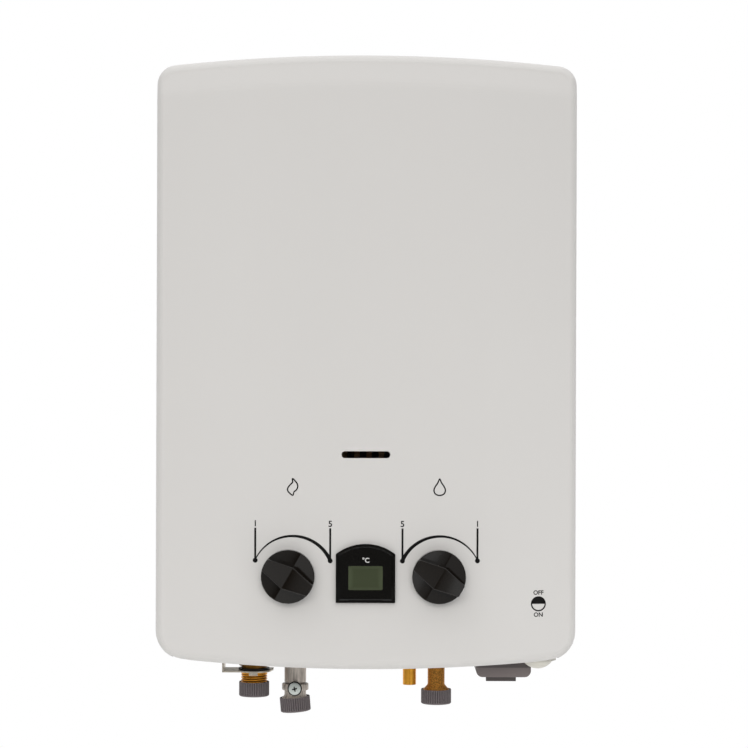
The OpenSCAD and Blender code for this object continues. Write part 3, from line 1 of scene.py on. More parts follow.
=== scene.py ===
# %% [markdown]
# # A wall-hung instantaneous gas water heater
# The heater's solids come in as a fixed frame: casing, burner, valves, pipes, battery box and switch.
# This lesson dresses them. Solids whose shape is right keep it and get a finish, and the pieces whose
# small forms matter, such as threads, ribbed caps and printed marks, are made here.

# %% Load the solids
import math

import bmesh
import bpy
from mathutils import Matrix, Vector


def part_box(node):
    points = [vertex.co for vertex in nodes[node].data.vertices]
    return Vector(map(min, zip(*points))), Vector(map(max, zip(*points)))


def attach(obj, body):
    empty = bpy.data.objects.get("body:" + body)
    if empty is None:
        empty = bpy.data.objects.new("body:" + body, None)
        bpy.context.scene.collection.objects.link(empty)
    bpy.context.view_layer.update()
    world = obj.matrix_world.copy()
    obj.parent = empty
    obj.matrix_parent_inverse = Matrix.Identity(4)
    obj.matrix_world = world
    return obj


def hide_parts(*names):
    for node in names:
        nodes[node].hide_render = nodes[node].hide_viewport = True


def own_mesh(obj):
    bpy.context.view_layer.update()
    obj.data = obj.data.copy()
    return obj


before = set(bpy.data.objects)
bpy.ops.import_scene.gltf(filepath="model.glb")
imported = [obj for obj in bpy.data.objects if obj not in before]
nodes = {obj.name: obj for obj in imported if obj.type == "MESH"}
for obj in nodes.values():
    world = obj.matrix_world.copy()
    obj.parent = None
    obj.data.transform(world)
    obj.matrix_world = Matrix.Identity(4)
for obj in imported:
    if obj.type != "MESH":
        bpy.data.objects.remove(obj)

MM = 0.001
scene = bpy.context.scene
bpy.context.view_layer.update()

# %% [markdown]
# ## Camera
# The heater is seen straight from the front, from about mid-height, with a long lens: the two sides
# stay almost parallel. A camera 1.8 m from the crown of the front with a lens of about 113 mm gives
# that, and a small roll gives the slight lean of the picture.

# %% Camera
CROWN_Y = -150 * MM
CAMERA_DISTANCE = 1.8
LENS_MM, SENSOR_MM = 113.2, 36
CAMERA_X, CAMERA_Z = 6.0 * MM, -9.2 * MM
ROLL = math.radians(-0.18)
camera_data = bpy.data.cameras.new("camera")
camera_data.lens = LENS_MM
camera_data.sensor_width = SENSOR_MM
camera = bpy.data.objects.new("camera", camera_data)
scene.collection.objects.link(camera)
camera.location = (CAMERA_X, CROWN_Y - CAMERA_DISTANCE, CAMERA_Z)
camera.rotation_euler = (math.pi / 2, ROLL, 0)
scene.camera = camera
print("camera at", tuple(camera.location))

# %% [markdown]
# ## Shader sums
# A finish is easier to read as a sum than as a web of nodes. One small class wraps a socket, so that
# `0.4 + 0.1 * cloud` adds the Math nodes by itself. Any other node comes from its `node` method.

# %% A socket to write sums on
class Wire:
    """A shader socket: operators on it add Math nodes, and node() adds any other node."""

    def __init__(self, tree, socket=None):
        self.tree = tree
        self.socket = socket

    def node(self, kind, settings=None, inputs=None, out=0):
        made = self.tree.nodes.new("ShaderNode" + kind)
        for name, value in (settings or {}).items():
            if name == "stops":
                set_stops(made.color_ramp, value)
            else:
                setattr(made, name, value)
        for name, value in (inputs or {}).items():
            if isinstance(value, Wire):
                self.tree.links.new(value.socket, made.inputs[name])
            else:
                made.inputs[name].default_value = value
        return Wire(self.tree, made.outputs[out] if made.outputs else None)

    def math(self, operation, *others):
        return self.node("Math", {"operation": operation}, dict(enumerate((self,) + others)))

    def __add__(self, other):
        return self.math("ADD", other)

    def __sub__(self, other):
        return self.math("SUBTRACT", other)

    def __rsub__(self, other):
        return (self * -1) + other

    def __mul__(self, other):
        return self.math("MULTIPLY", other)

    __radd__ = __add__
    __rmul__ = __mul__

    def mix(self, low, high):
        """A colour that goes from low to high as this socket goes from 0 to 1."""
        return self.node("Mix", {"data_type": "RGBA"}, {0: self, 6: low, 7: high}, out=2)

    def steps(self, *stops):
        """This value through a ramp of (place, grey) stops."""
        return self.node("ValToRGB", {"stops": stops}, {"Fac": self})

    def along(self, direction):
        """How far this vector reaches in a direction."""
        return self.node("VectorMath", {"operation": "DOT_PRODUCT"}, {0: self, 1: direction}, out="Value")


def set_stops(ramp, stops):
    """Puts the (place, grey) stops, given in order, on a ramp that has its first two."""
    ends = [stops[0], stops[-1]]
    for element, (place, grey) in zip(ramp.elements, ends):
        element.position = place
        element.color = (grey, grey, grey, 1)
    for place, grey in stops[1:-1]:
        ramp.elements.new(place).color = (grey, grey, grey, 1)


def linear(red, green, blue):
    """A screen colour, 0 to 255, as the linear colour that shaders take."""
    def channel(value):
        value /= 255
        return value / 12.92 if value <= 0.04045 else ((value + 0.055) / 1.055) ** 2.4
    return (channel(red), channel(green), channel(blue), 1)


def scaled(colour, amount):
    return tuple(min(1, part * amount) for part in colour[:3]) + (1,)


def feed(material, socket, wire):
    """Links a wire to a socket of a material's main shader."""
    tree = material.node_tree
    tree.links.new(wire.socket, tree.nodes["Principled BSDF"].inputs[socket])


print("sample colour:", linear(214, 212, 208))

# %% [markdown]
# ## One recipe for most finishes
# Paint, moulded plastic and cast metal differ in numbers more than in kind: a colour that drifts a
# little over the surface, a roughness that drifts with it, and a fine grain in the bump. One function
# holds that recipe, and each finish gives it its own scale. Brushed and drawn metal stretch the grain
# along one axis, and where they are drawn the colour follows it. A small patch width makes the drift
# patchy. Painted shade darkens what a mesh marks in its shade mask, such as the roots of a thread. The
# battery lid is darker on its tab and along its top, where the parts around them keep the light off.

# %% The common recipe
# How dark painted shade makes a fully shaded point, as a share of the finish's colour.
PAINTED_SHADE_LEVEL = 0.12


def make_finish(name, colour, roughness=0.5, metallic=0.0, drift=0.04, drift_scale=9.0, grain_scale=900.0,
                grain=0.05, grain_depth=0.2, stretch=(1, 1, 1), roughness_drift=0.1, coat=0.0, specular=0.5,
                painted_shade=0.0, patch_width=0.5, drawn=False):
    material = bpy.data.materials.new(name)
    material.use_nodes = True
    shader = material.node_tree.nodes["Principled BSDF"]
    shader.inputs["Metallic"].default_value = metallic
    shader.inputs["Coat Weight"].default_value = coat
    shader.inputs["Specular IOR Level"].default_value = specular
    start = Wire(material.node_tree)
    place = start.node("TexCoord", out="Object")
    along = start.node("Mapping", inputs={"Vector": place, "Scale": stretch})
    patches = along if drawn else place
    cloud = start.node("TexNoise", inputs={"Vector": patches, "Scale": drift_scale, "Detail": 4.0})
    if patch_width < 0.5:
        cloud = cloud.steps((0.5 - patch_width, 0), (0.5 + patch_width, 1))
    fine = start.node("TexNoise", inputs={"Vector": along, "Scale": grain_scale, "Detail": 3.0})
    tint = cloud.mix(scaled(colour, 1 - drift), scaled(colour, 1 + drift))
    # Painted shade: the colour darkens where the mesh's shade mask is high, in thread roots, rib grooves,
    # seams and below the cover.
    if painted_shade:
        hollow = start.node("Attribute", {"attribute_name": "hollow"}, out="Fac")
        tint = (painted_shade * hollow).mix(tint, scaled(colour, PAINTED_SHADE_LEVEL))
    rough = roughness - roughness_drift / 2 + roughness_drift * (0.5 * cloud + 0.5 * fine)
    bump = start.node("Bump", inputs={"Strength": grain, "Distance": grain_depth * MM, "Height": fine})
    feed(material, "Base Color", tint)
    feed(material, "Roughness", rough)
    feed(material, "Normal", bump)
    return material


cover_paint = make_finish("powder_coat", linear(214, 212, 210), 0.42, drift=0.012, drift_scale=5,
                          grain_scale=1400, grain=0.06, grain_depth=0.05, coat=0.15)
knob_plastic = make_finish("knob_plastic", linear(20, 16, 12), 0.12, drift=0.15, grain_scale=2600, grain=0.03,
                           specular=0.42)
black_plastic = make_finish("black_plastic", linear(34, 33, 31), 0.5, drift=0.12, grain_scale=1800, grain=0.1)
bezel_plastic = make_finish("bezel_plastic", linear(12, 11, 9), 0.1, drift=0.1, grain_scale=2000, grain=0.02,
                            specular=0.8)
# The caps' rib grooves are darkened as painted shade.
cap_plastic = make_finish("cap_plastic", linear(110, 102, 104), 0.6, drift=0.06, grain_scale=1500, grain=0.15,
                          painted_shade=0.75)
lid_plastic = make_finish("lid_plastic", linear(126, 117, 116), 0.5, drift=0.05, grain_scale=1500, grain=0.12)


def shade_towards(material, clear_z, dark_z, share):
    """Darkens a finish from one height to another, in mm, by a share."""
    tree = material.node_tree
    start = Wire(tree)
    height = start.node("TexCoord", out="Object").along((0, 0, 1))
    ends = {"From Min": clear_z * MM, "From Max": dark_z * MM}
    shade = start.node("MapRange", inputs={"Value": height, **ends})
    paint = Wire(tree, tree.nodes["Principled BSDF"].inputs["Base Color"].links[0].from_socket)
    feed(material, "Base Color", (share * shade).mix(paint, (0, 0, 0, 1)))


TAB_CLEAR_Z, TAB_DARK_Z, TAB_SHADE = -246.8, -247.2, 0.65
BAND_CLEAR_Z, BAND_DARK_Z, BAND_SHADE = -240.0, -239.2, 0.5
shade_towards(lid_plastic, TAB_CLEAR_Z, TAB_DARK_Z, TAB_SHADE)
shade_towards(lid_plastic, BAND_CLEAR_Z, BAND_DARK_Z, BAND_SHADE)
cream_plastic = make_finish("cream_plastic", linear(217, 214, 204), 0.35, drift=0.02, grain_scale=1200,
                            grain=0.03)
white_plastic = make_finish("white_plastic", linear(222, 220, 216), 0.45, drift=0.02, grain_scale=1400,
                            grain=0.05)
ceramic = make_finish("ceramic", linear(240, 236, 224), 0.2, drift=0.02, grain=0.02, coat=0.5)
rubber = make_finish("rubber", linear(30, 30, 30), 0.8, drift=0.1, grain=0.2)
ink = make_finish("print_ink", linear(12, 11, 11), 0.6, drift=0.1, grain_scale=3000, grain=0.05, specular=0.2)
white_ink = make_finish("white_ink", linear(226, 226, 224), 0.55, drift=0.04, grain_scale=3000, grain=0.05)
board_green = make_finish("board_green", linear(36, 92, 52), 0.45, drift=0.15, drift_scale=60, grain=0.05)
print("plain finishes made:", len(bpy.data.materials))

# %% [markdown]
# ## Metals
# Zinc-coated sheet shows large pale crystals, so its colour follows a cell pattern. Brass that was
# turned shows rings and dull patches where it was handled, copper darkens in clouds, and the burner's
# steel is tinted brown by heat. Cast alloy keeps a sandy skin.

# %% Metals
DARK_CELL, PALE_CELL = 0.86, 1.1


def make_zinc(name, colour, cell_scale=130.0):
    """Zinc-coated sheet: the common metal recipe, with crystal cells in its colour."""
    material = make_finish(name, colour, 0.42, metallic=0.85, drift=0.05, grain_scale=700, grain=0.04)
    start = Wire(material.node_tree)
    place = start.node("TexCoord", out="Object")
    cells = start.node("TexVoronoi", inputs={"Vector": place, "Scale": cell_scale}, out="Color")
    grey = start.node("RGBToBW", inputs={"Color": cells})
    feed(material, "Base Color", grey.mix(scaled(colour, DARK_CELL), scaled(colour, PALE_CELL)))
    return material


RINGS = (0.25, 0.25, 6)
zinc_sheet = make_zinc("zinc_sheet", linear(186, 187, 188))
bracket_zinc = make_zinc("bracket_zinc", linear(214, 205, 190), 300)
bright_steel = make_finish("bright_steel", linear(196, 196, 194), 0.32, metallic=1, drift=0.08,
                           grain_scale=300, stretch=RINGS)
# The brass, the dull brass and the cast alloy darken their thread roots and seams as painted shade.
brass = make_finish("turned_brass", linear(246, 168, 54), 0.36, metallic=0.7, drift=0.25, drift_scale=180,
                    grain_scale=700, grain=0.2, stretch=RINGS, painted_shade=0.88)
dark_brass = make_finish("dull_brass", linear(196, 135, 56), 0.46, metallic=0.65, drift=0.45,
                         drift_scale=1000, grain_scale=900, grain=0.25, painted_shade=0.8, patch_width=0.16)
copper = make_finish("copper", linear(196, 120, 84), 0.4, metallic=1, drift=0.2, drift_scale=25)
burner_steel = make_finish("burner_steel", linear(245, 205, 165), 0.5, metallic=0.2, drift=0.25,
                           drift_scale=60)
cast_alloy = make_finish("cast_alloy", linear(190, 181, 172), 0.5, metallic=0.5, drift=0.36, drift_scale=160,
                         grain_scale=500, grain=0.3, grain_depth=0.3, stretch=(4, 4, 0.5), painted_shade=0.8,
                         patch_width=0.2, drawn=True)
screw_zinc = make_finish("screw_zinc", linear(204, 210, 206), 0.45, metallic=0.55, drift=0.08, drift_scale=90)
black_steel_and_shade = make_finish("black_steel_and_shade", linear(38, 36, 34), 0.4, metallic=0.6, drift=0.15, drift_scale=90)
cell_jacket = make_finish("cell_jacket", linear(178, 140, 62), 0.3, metallic=0.4, drift=0.05)
print("finishes made:", len(bpy.data.materials))

# %% [markdown]
# ## The display's screen
# The screen is off: dark green-grey glass, a little paler along its margin, where light creeps in
# between glass and frame. A share that is 0 in the middle and 1 at the edge mixes the two colours.

# %% Screen
low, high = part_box("display_glass")
middle, half = (low + high) / 2, (high - low) / 2
screen = make_finish("dark_screen", linear(66, 72, 54), 0.16, roughness_drift=0.04, grain=0.01, specular=0.3)
start = Wire(screen.node_tree)
place = start.node("TexCoord", out="Object")


def share_of(axis):
    """How far a point lies from the screen's middle along one axis, 0 to 1."""
    unit = [0, 0, 0]
    unit[axis] = 1 / half[axis]
    return (place.along(unit) - middle[axis] / half[axis]).math("ABSOLUTE")


edge = share_of(0).math("MAXIMUM", share_of(2)).steps((0.6, 0), (0.9, 1))
feed(screen, "Base Color", edge.mix(linear(63, 69, 51), linear(78, 85, 65)))
print("screen finish:", screen.name)

# %% [markdown]
# ## Finish the solids
# Each solid that keeps its own shape gets its finish in its first material slot. The sheet and the
# moulded parts get a small rounded edge from a Bevel modifier, as bent and moulded edges are never
# sharp, and smooth shading that stops at real corners.

# %% Finishes of the solids
finish_of = {
    cover_paint: ["front_cover"],
    zinc_sheet: ["back_plate", "bottom_plate", "support_rails", "draft_hood", "flue_collar", "burner_tray",
                 "electrode_bracket"],
    bright_steel: ["chassis_screws", "diaphragm_screws", "flame_spindle", "water_spindle", "push_rod",
                   "rod_spring", "microswitch_lever", "lid_pin", "battery_contacts",
                   "overheat_thermostat", "temperature_probe"],
    # The outlet clip's black is partly its own colour and partly painted shade under the cover.
    black_steel_and_shade: ["outlet_clip"],
    copper: ["combustion_chamber", "fin_stack", "exchanger_tubes", "cold_feed_pipe", "hot_pipe"],
    brass: ["gas_injectors", "relief_valve", "pipe_nuts"],
    dark_brass: ["water_valve_body", "diaphragm_cover"],
    burner_steel: ["burner_bars"],
    cast_alloy: ["gas_manifold", "gas_valve_body"],
    bracket_zinc: ["outlet_bracket"],
    ceramic: ["ignition_electrode", "flame_sensor"],
    black_plastic: ["igniter_module", "solenoid_valve", "microswitch"],
    knob_plastic: ["flame_knob", "water_knob"],
    bezel_plastic: ["display_bezel"],
    screen: ["display_glass"],
    board_green: ["display_board"],
    lid_plastic: ["battery_lid"],
    cream_plastic: ["rocker", "rocker_housing"],
    white_plastic: ["battery_box"],
    rubber: ["diaphragm"],
    cell_jacket: ["battery_cells"],
}
SMOOTH_ANGLE = math.radians(28)
BEVEL_ANGLE = math.radians(35)
WELD_GAP = 0.002


def soften(obj, angle=SMOOTH_ANGLE):
    """Smooth shading that stops at corners sharper than the angle."""
    obj.data.shade_smooth()
    obj.data.set_sharp_from_angle(angle=angle)


def keep_flat(obj):
    """Lets large faces shade flat although the rounded edges beside them are smooth."""
    obj.modifiers.new("flat_faces", "WEIGHTED_NORMAL").keep_sharp = True


def round_edges(obj, width_mm, segments=2):
    weld = obj.modifiers.new("weld", "WELD")
    weld.merge_threshold = WELD_GAP * MM
    bevel = obj.modifiers.new("rounded_edges", "BEVEL")
    bevel.width = width_mm * MM
    bevel.segments = segments
    bevel.limit_method = "ANGLE"
    bevel.angle_limit = BEVEL_ANGLE
    keep_flat(obj)


for material, names in finish_of.items():
    for name in names:
        mesh = nodes[name].data
        mesh.materials.clear()
        mesh.materials.append(material)
        soften(nodes[name])
EDGE_WIDTHS = {"display_bezel": 0.25, "battery_lid": 0.6, "outlet_bracket": 0.25, "battery_box": 0.4}
for name, width in EDGE_WIDTHS.items():
    round_edges(nodes[name], width)
print("solids finished:", sum(len(names) for names in finish_of.values()))

# %% [markdown]
# ## Helpers for new pieces
# Every new piece is a mesh that rides on one body of the frame and carries its finish. Turned parts
# are lathed: a profile of radius and height is spun about an axis, and a function can cut each point
# inwards, which is how ribs and threads are made. How deep a point is cut is kept with the mesh, as a
# shade mask, for the finish to darken as painted shade.

# %% Piece helpers
def add_piece(name, mesh, body, material, replaced=None, angle=SMOOTH_ANGLE):
    obj = bpy.data.objects.new(name, mesh)
    scene.collection.objects.link(obj)
    if not mesh.materials:
        mesh.materials.append(material)
    soften(obj, angle)
    if replaced:
        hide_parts(replaced)
    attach(obj, body)
    return obj


def mesh_from(name, verts, faces):
    mesh = bpy.data.meshes.new(name)
    mesh.from_pydata(verts, [], faces)
    mesh.update()
    return mesh


def ring_faces(here, there, count):
    """Quads between two rings of count points, each given by the index of its first point."""
    return [(here + k, here + (k + 1) % count, there + (k + 1) % count, there + k) for k in range(count)]


def ring_mesh(name, verts, count):
    """Joins rings of count points each into one closed skin; the last ring joins the first."""
    faces = []
    for first in range(0, len(verts), count):
        faces += ring_faces(first, (first + count) % len(verts), count)
    return mesh_from(name, verts, faces)


def loft(name, verts, count):
    """Joins rings of count points one after another and closes both ends."""
    last = len(verts) - count
    faces = [tuple(reversed(range(count))), tuple(range(last, len(verts)))]
    for first in range(0, last, count):
        faces += ring_faces(first, first + count, count)
    return mesh_from(name, verts, faces)


def at(x, y, z):
    """The move to a place, in mm."""
    return Matrix.Translation((x * MM, y * MM, z * MM))


def lathe(name, profile, sides, shift=None):
    """Spins a closed (radius, height) profile, in mm, about Z; shift gives how deep a point is cut."""
    verts = []
    depths = []
    for radius, height in profile:
        for k in range(sides):
            turn = 2 * math.pi * k / sides
            depth = shift(radius, height, turn) if shift else 0
            reach = radius - depth
            verts.append((reach * math.cos(turn) * MM, reach * math.sin(turn) * MM, height * MM))
            depths.append(depth)
    mesh = ring_mesh(name, verts, sides)
    deepest = max(depths) or 1
    # The cut depth, as a share of the deepest cut, is the mask for painted shade.
    hollow = mesh.attributes.new("hollow", "FLOAT", "POINT")
    hollow.data.foreach_set("value", [depth / deepest for depth in depths])
    return mesh


def round_corner(centre_r, centre_z, radius, start_deg, end_deg, steps=4):
    turns = [math.radians(start_deg + (end_deg - start_deg) * i / steps) for i in range(steps + 1)]
    return [(centre_r + radius * math.cos(t), centre_z + radius * math.sin(t)) for t in turns]


def spread(start, end, steps):
    """Points along a profile edge, both ends included."""
    return [tuple(a + (b - a) * i / steps for a, b in zip(start, end)) for i in range(steps + 1)]


def join(name, meshes):
    """One mesh from several closed shells."""
    work = bmesh.new()
    for mesh in meshes:
        work.from_mesh(mesh)
    bmesh.ops.recalc_face_normals(work, faces=work.faces)
    whole = bpy.data.meshes.new(name)
    work.to_mesh(whole)
    work.free()
    for material in meshes[0].materials:
        whole.materials.append(material)
    return whole


AXIS_R = 0.02
TO_FRONT = Matrix.Rotation(math.pi / 2, 4, "X")
print("helpers ready")

# %% [markdown]
# ## Control knobs
# Each knob is a glossy black moulding: a round skirt with a shallow valley across its face, and a grip
# that is widest at its middle and falls towards both ends. On each face one side of the fold is flat
# and the other runs into it in a slow curve, so a dark band lies along the fold. The skirt is lathed
# and its face bent to the valley; the grip is a loft through stations along its length.

# %% Control knobs
KNOB_R, KNOB_H = 20.5, 20.0
KNOB_BASE_Y, KNOB_Z = -151.2, -164.0
KNOB_X = {"flame": -59.3, "water": 56.1}
WING_LOW, WING_HIGH = 6.0, 9.0
GRIP_HALF, GRIP_END_HALF = 9.25, 4.70
GRIP_FALL, GRIP_ROOT = 2.6, 4.0
GRIP_SLANT = math.radians(30)
GRIP_EDGE = 0.8
GRIP_INSET = 0.4
GRIP_STATIONS = 48
SKIRT_BEND, SKIRT_ROUND, SKIRT_SIDES = 3.0, 0.6, 128
FACE_RINGS = 24
CURVE = 1.35


def fold(along):
    """0 at the fold and 1 at the rim: straight on the positive side, curved on the negative one."""
    share = abs(along) / KNOB_R
    return share if along > 0 else share ** CURVE


def knob_skirt():
    face_r = KNOB_R - SKIRT_ROUND
    profile = ([(AXIS_R, 0), (KNOB_R, 0), (KNOB_R, SKIRT_BEND)]
               + round_corner(face_r, WING_LOW - SKIRT_ROUND, SKIRT_ROUND, 0, 90)
               + spread((face_r, WING_LOW), (AXIS_R, WING_LOW), FACE_RINGS))
    mesh = lathe("knob_skirt", profile, SKIRT_SIDES)
    for vertex in mesh.vertices:
        share = max(0, vertex.co.z / MM - SKIRT_BEND) / (WING_LOW - SKIRT_BEND)
        vertex.co.z += share * (WING_HIGH - WING_LOW) * fold(vertex.co.x / MM) * MM
    return mesh


def knob_grip():
    verts = []
    for station in range(GRIP_STATIONS + 1):
        along = KNOB_R * (2 * station / GRIP_STATIONS - 1)
        half = GRIP_HALF + (GRIP_END_HALF - GRIP_HALF) * abs(along) / KNOB_R
        top = KNOB_H - GRIP_FALL * fold(-along)
        edge = [(half - GRIP_EDGE + r, z) for r, z in round_corner(0, top - GRIP_EDGE, GRIP_EDGE, 0, 90, 3)]
        right = [(half, GRIP_ROOT)] + edge
        section = right + [(-across, z) for across, z in reversed(right)]
        for across, z in section:
            reach = math.sqrt((KNOB_R - GRIP_INSET) ** 2 - across ** 2)
            verts.append((max(-reach, min(reach, along)) * MM, across * MM, z * MM))
    return loft("knob_grip", verts, len(verts) // (GRIP_STATIONS + 1))


FOLD_GAP, FOLD_LOW = 1e-6, 5.0
for name, place_x in KNOB_X.items():
    mesh = join(name + "_knob_moulding", [knob_skirt(), knob_grip()])
    on_fold = [abs(vertex.co.x) < FOLD_GAP and vertex.co.z > FOLD_LOW * MM for vertex in mesh.vertices]
    folds = [edge for edge in mesh.edges if all(on_fold[i] for i in edge.vertices)]
    mesh.transform(at(place_x, KNOB_BASE_Y, KNOB_Z) @ Matrix.Rotation(GRIP_SLANT, 4, "Y") @ TO_FRONT)
    knob = add_piece(mesh.name, mesh, name + "_knob", knob_plastic, name + "_knob")
    for edge in folds:
        edge.use_edge_sharp = True
    keep_flat(knob)
print("knobs:", list(KNOB_X))

# %% [markdown]
# ## Chamfer inside the bezel
# The display's face lies a little lower than its rim, and the slope between them shows as a thin light
# line that follows the arched outline. It is a strip with a triangular section: each ring of points is
# the bezel's outline drawn in by one distance.

# %% Bezel chamfer
bezel_low, bezel_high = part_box("display_bezel")
BEZEL_HALF = bezel_high.x / MM
BEZEL_BOTTOM, BEZEL_TOP = bezel_low.z / MM, bezel_high.z / MM
BEZEL_FRONT = bezel_low.y / MM
ARCH_RISE = 7.8
ARCH_R = (BEZEL_HALF ** 2 + ARCH_RISE ** 2) / (2 * ARCH_RISE)
ARCH_STEPS = 24
RIM_W, RIM_STEP, SLOPE_W = 2.0, 0.8, 0.6
RIM_LAP, SLOPE_RISE, SLOPE_SINK = 0.1, 0.04, 0.02


def bezel_outline(inset):
    """The bezel's outline drawn in by inset, as (x, z) points in mm."""
    half = BEZEL_HALF - inset
    points = [(-half, BEZEL_BOTTOM + inset), (half, BEZEL_BOTTOM + inset)]
    for i in range(ARCH_STEPS + 1):
        x = half * (1 - 2 * i / ARCH_STEPS)
        points.append((x, BEZEL_TOP - ARCH_R + math.sqrt((ARCH_R - inset) ** 2 - x ** 2)))
    return points


slope_foot = BEZEL_FRONT + RIM_STEP - SLOPE_SINK
slope_section = [(RIM_W - RIM_LAP, BEZEL_FRONT - SLOPE_RISE), (RIM_W + SLOPE_W, slope_foot),
                 (RIM_W - RIM_LAP, slope_foot)]
rings = [(x * MM, y * MM, z * MM) for inset, y in slope_section for x, z in bezel_outline(inset)]
chamfer = ring_mesh("bezel_chamfer", rings, len(bezel_outline(0)))
add_piece("bezel_chamfer", chamfer, "heater", bezel_plastic)
print("bezel outline points:", len(bezel_outline(0)))

# %% [markdown]
# ## Transport caps
# Soft plastic caps close the three connections. Their sides carry fine upright ribs for the fingers,
# and their lower edge is rounded. The ribs are real relief, a shallow wave round the outer wall, and
# the gas cap sits a little askew on its thread, as its solid does.

# %% Transport caps
CAP_R = 12.0
CAP_BORE_R = 11.5
CAP_LENGTH = 11.5
CAP_FLOOR = 0.8
CAP_ROUND = 1.1
CAP_LIP = 0.2
CAP_AXIS_R = 0.05
WALL_LOW, WALL_HIGH, WALL_GAP = 0.5, 0.6, 0.02
DIMPLE_R, DIMPLE_SLOPE, DIMPLE_DEPTH = 7.0, 0.3, 0.25
RIBS = 40
RIB_DEPTH = 0.5
SIDES_PER_RIB = 8
RIB_END_LOW, RIB_END_HIGH = 0.1, 0.3
CONNECTION_Y = -74.0
HOT_X, GAS_X, COLD_X = -88.8, -56.0, 56.3
GAS_CAP_LEAN = math.radians(-4.8)


def rib_shift(radius, height, turn):
    on_wall = radius > CAP_R - WALL_GAP and CAP_ROUND + RIB_END_LOW < height < CAP_LENGTH - RIB_END_HIGH
    wave = 0.5 - 0.5 * math.cos(RIBS * turn)
    return RIB_DEPTH * wave ** 2 if on_wall else 0


def cap_profile():
    edge = CAP_R - CAP_ROUND
    outer = round_corner(edge, CAP_ROUND, CAP_ROUND, -90, 0)
    wall = spread((CAP_R, CAP_ROUND + WALL_LOW), (CAP_R, CAP_LENGTH - WALL_HIGH), 6)
    rim = [(CAP_R - CAP_LIP / 2, CAP_LENGTH - CAP_LIP / 2), (CAP_R - CAP_LIP, CAP_LENGTH),
           (CAP_BORE_R, CAP_LENGTH)]
    inside = [(CAP_BORE_R, CAP_FLOOR), (CAP_AXIS_R, CAP_FLOOR), (CAP_AXIS_R, DIMPLE_DEPTH),
              (DIMPLE_R, DIMPLE_DEPTH), (DIMPLE_R + DIMPLE_SLOPE, 0)]
    return outer + wall + rim + inside


def transport_cap(node, place):
    mesh = lathe("ribbed_" + node, cap_profile(), RIBS * SIDES_PER_RIB, rib_shift)
    mesh.transform(place)
    mesh.flip_normals()
    add_piece(mesh.name, mesh, node, cap_plastic, node)


for node, x in {"hot_cap": HOT_X, "cold_cap": COLD_X}.items():
    transport_cap(node, at(x, CONNECTION_Y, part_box(node)[0].z / MM))
GAS_END = -276.0
GAS_THREAD = 8.5
CASE_BOTTOM, GAS_CAP_DROP = -236.0, 42.0
gas_middle = GAS_END + GAS_THREAD / 2
transport_cap("gas_cap", at(GAS_X, CONNECTION_Y, gas_middle) @ Matrix.Rotation(GAS_CAP_LEAN, 4, "Y")
              @ at(0, 0, CASE_BOTTOM - GAS_CAP_DROP - gas_middle))
print("caps with", RIBS, "ribs each")

# %% [markdown]
# ## Threaded connections
# Half-inch pipe threads have fourteen turns to the inch, so a pitch of 1.81 mm. The hot outlet shows
# its thread between the bracket and the cap; the other two show theirs when the caps come off. Each
# fitting is lathed again with a helical groove: the radius dips as a wave that climbs one pitch a turn.

# %% Threads
PITCH = 1.814
THREAD_R = 10.4775
THREAD_DEPTH = 1.16
ROWS_PER_PITCH = 10
FLANK_SLOPE, ROOT_SHARE = 1.7, 0.3
FADE_LOW, FADE_HIGH = 1.2, 0.8
EDGE_GAP = 0.01
FITTING_SIDES = 128


def helix(start, end):
    """A shift that cuts a thread between two heights and fades out at its ends."""
    def shift(radius, height, turn):
        if radius < THREAD_R - EDGE_GAP or height < start or height > end:
            return 0
        phase = (height / PITCH - turn / (2 * math.pi)) % 1
        flank = min(1, max(0, FLANK_SLOPE * abs(2 * phase - 1) - ROOT_SHARE))
        fade = min(1, (height - start) / FADE_LOW, (end - height) / FADE_HIGH)
        return THREAD_DEPTH * (1 - flank) * max(0, fade)
    return shift


def thread_rows(start, end):
    rows = max(8, round((end - start) / PITCH * ROWS_PER_PITCH))
    return spread((THREAD_R, start + EDGE_GAP), (THREAD_R, end - EDGE_GAP), rows)


def fitting(name, profile, shift, x):
    mesh = lathe(name, profile, FITTING_SIDES, shift)
    mesh.transform(at(x, CONNECTION_Y, 0))
    return mesh


def paint_shade_towards(mesh, lit_z, dark_z):
    """Marks a turned piece for painted shade towards one height, where it lies in the cover's shade."""
    for vertex, mark in zip(mesh.vertices, mesh.attributes["hollow"].data):
        share = (vertex.co.z / MM - lit_z) / (dark_z - lit_z)
        mark.value = max(mark.value, min(1, max(0, share)))


HOT_END, HOT_THREAD_TOP = -264.9, -247.9
HOT_TOP = -214.3
HOT_BORE_R = 5.0
NECK_CUT = 0.3
NECK_R = THREAD_R - NECK_CUT
GROOVE_R = 8.8
GROOVE_LOW, GROOVE_HIGH = -244.8, -243.2
FLANGE_R, FLANGE_LOW, FLANGE_HIGH = 12.0, -241.4, -240.0
THREAD_LEAD = 0.8
hot_profile = (
    [(HOT_BORE_R, HOT_TOP), (HOT_BORE_R, HOT_END), (THREAD_R - THREAD_LEAD, HOT_END)]
    + thread_rows(HOT_END, HOT_THREAD_TOP)
    + [(NECK_R, HOT_THREAD_TOP), (NECK_R, GROOVE_LOW), (GROOVE_R, GROOVE_LOW), (GROOVE_R, GROOVE_HIGH),
       (NECK_R, GROOVE_HIGH), (NECK_R, FLANGE_LOW), (FLANGE_R, FLANGE_LOW), (FLANGE_R, FLANGE_HIGH),
       (NECK_R, FLANGE_HIGH), (NECK_R, HOT_TOP)])
hot_mesh = fitting("hot_fitting", hot_profile, helix(HOT_END, HOT_THREAD_TOP), HOT_X)
# Painted shade on the brass between the bracket and the cover's lower edge.
paint_shade_towards(hot_mesh, HOT_THREAD_TOP, GROOVE_HIGH)
add_piece("hot_fitting", hot_mesh, "heater", brass, "hot_outlet")

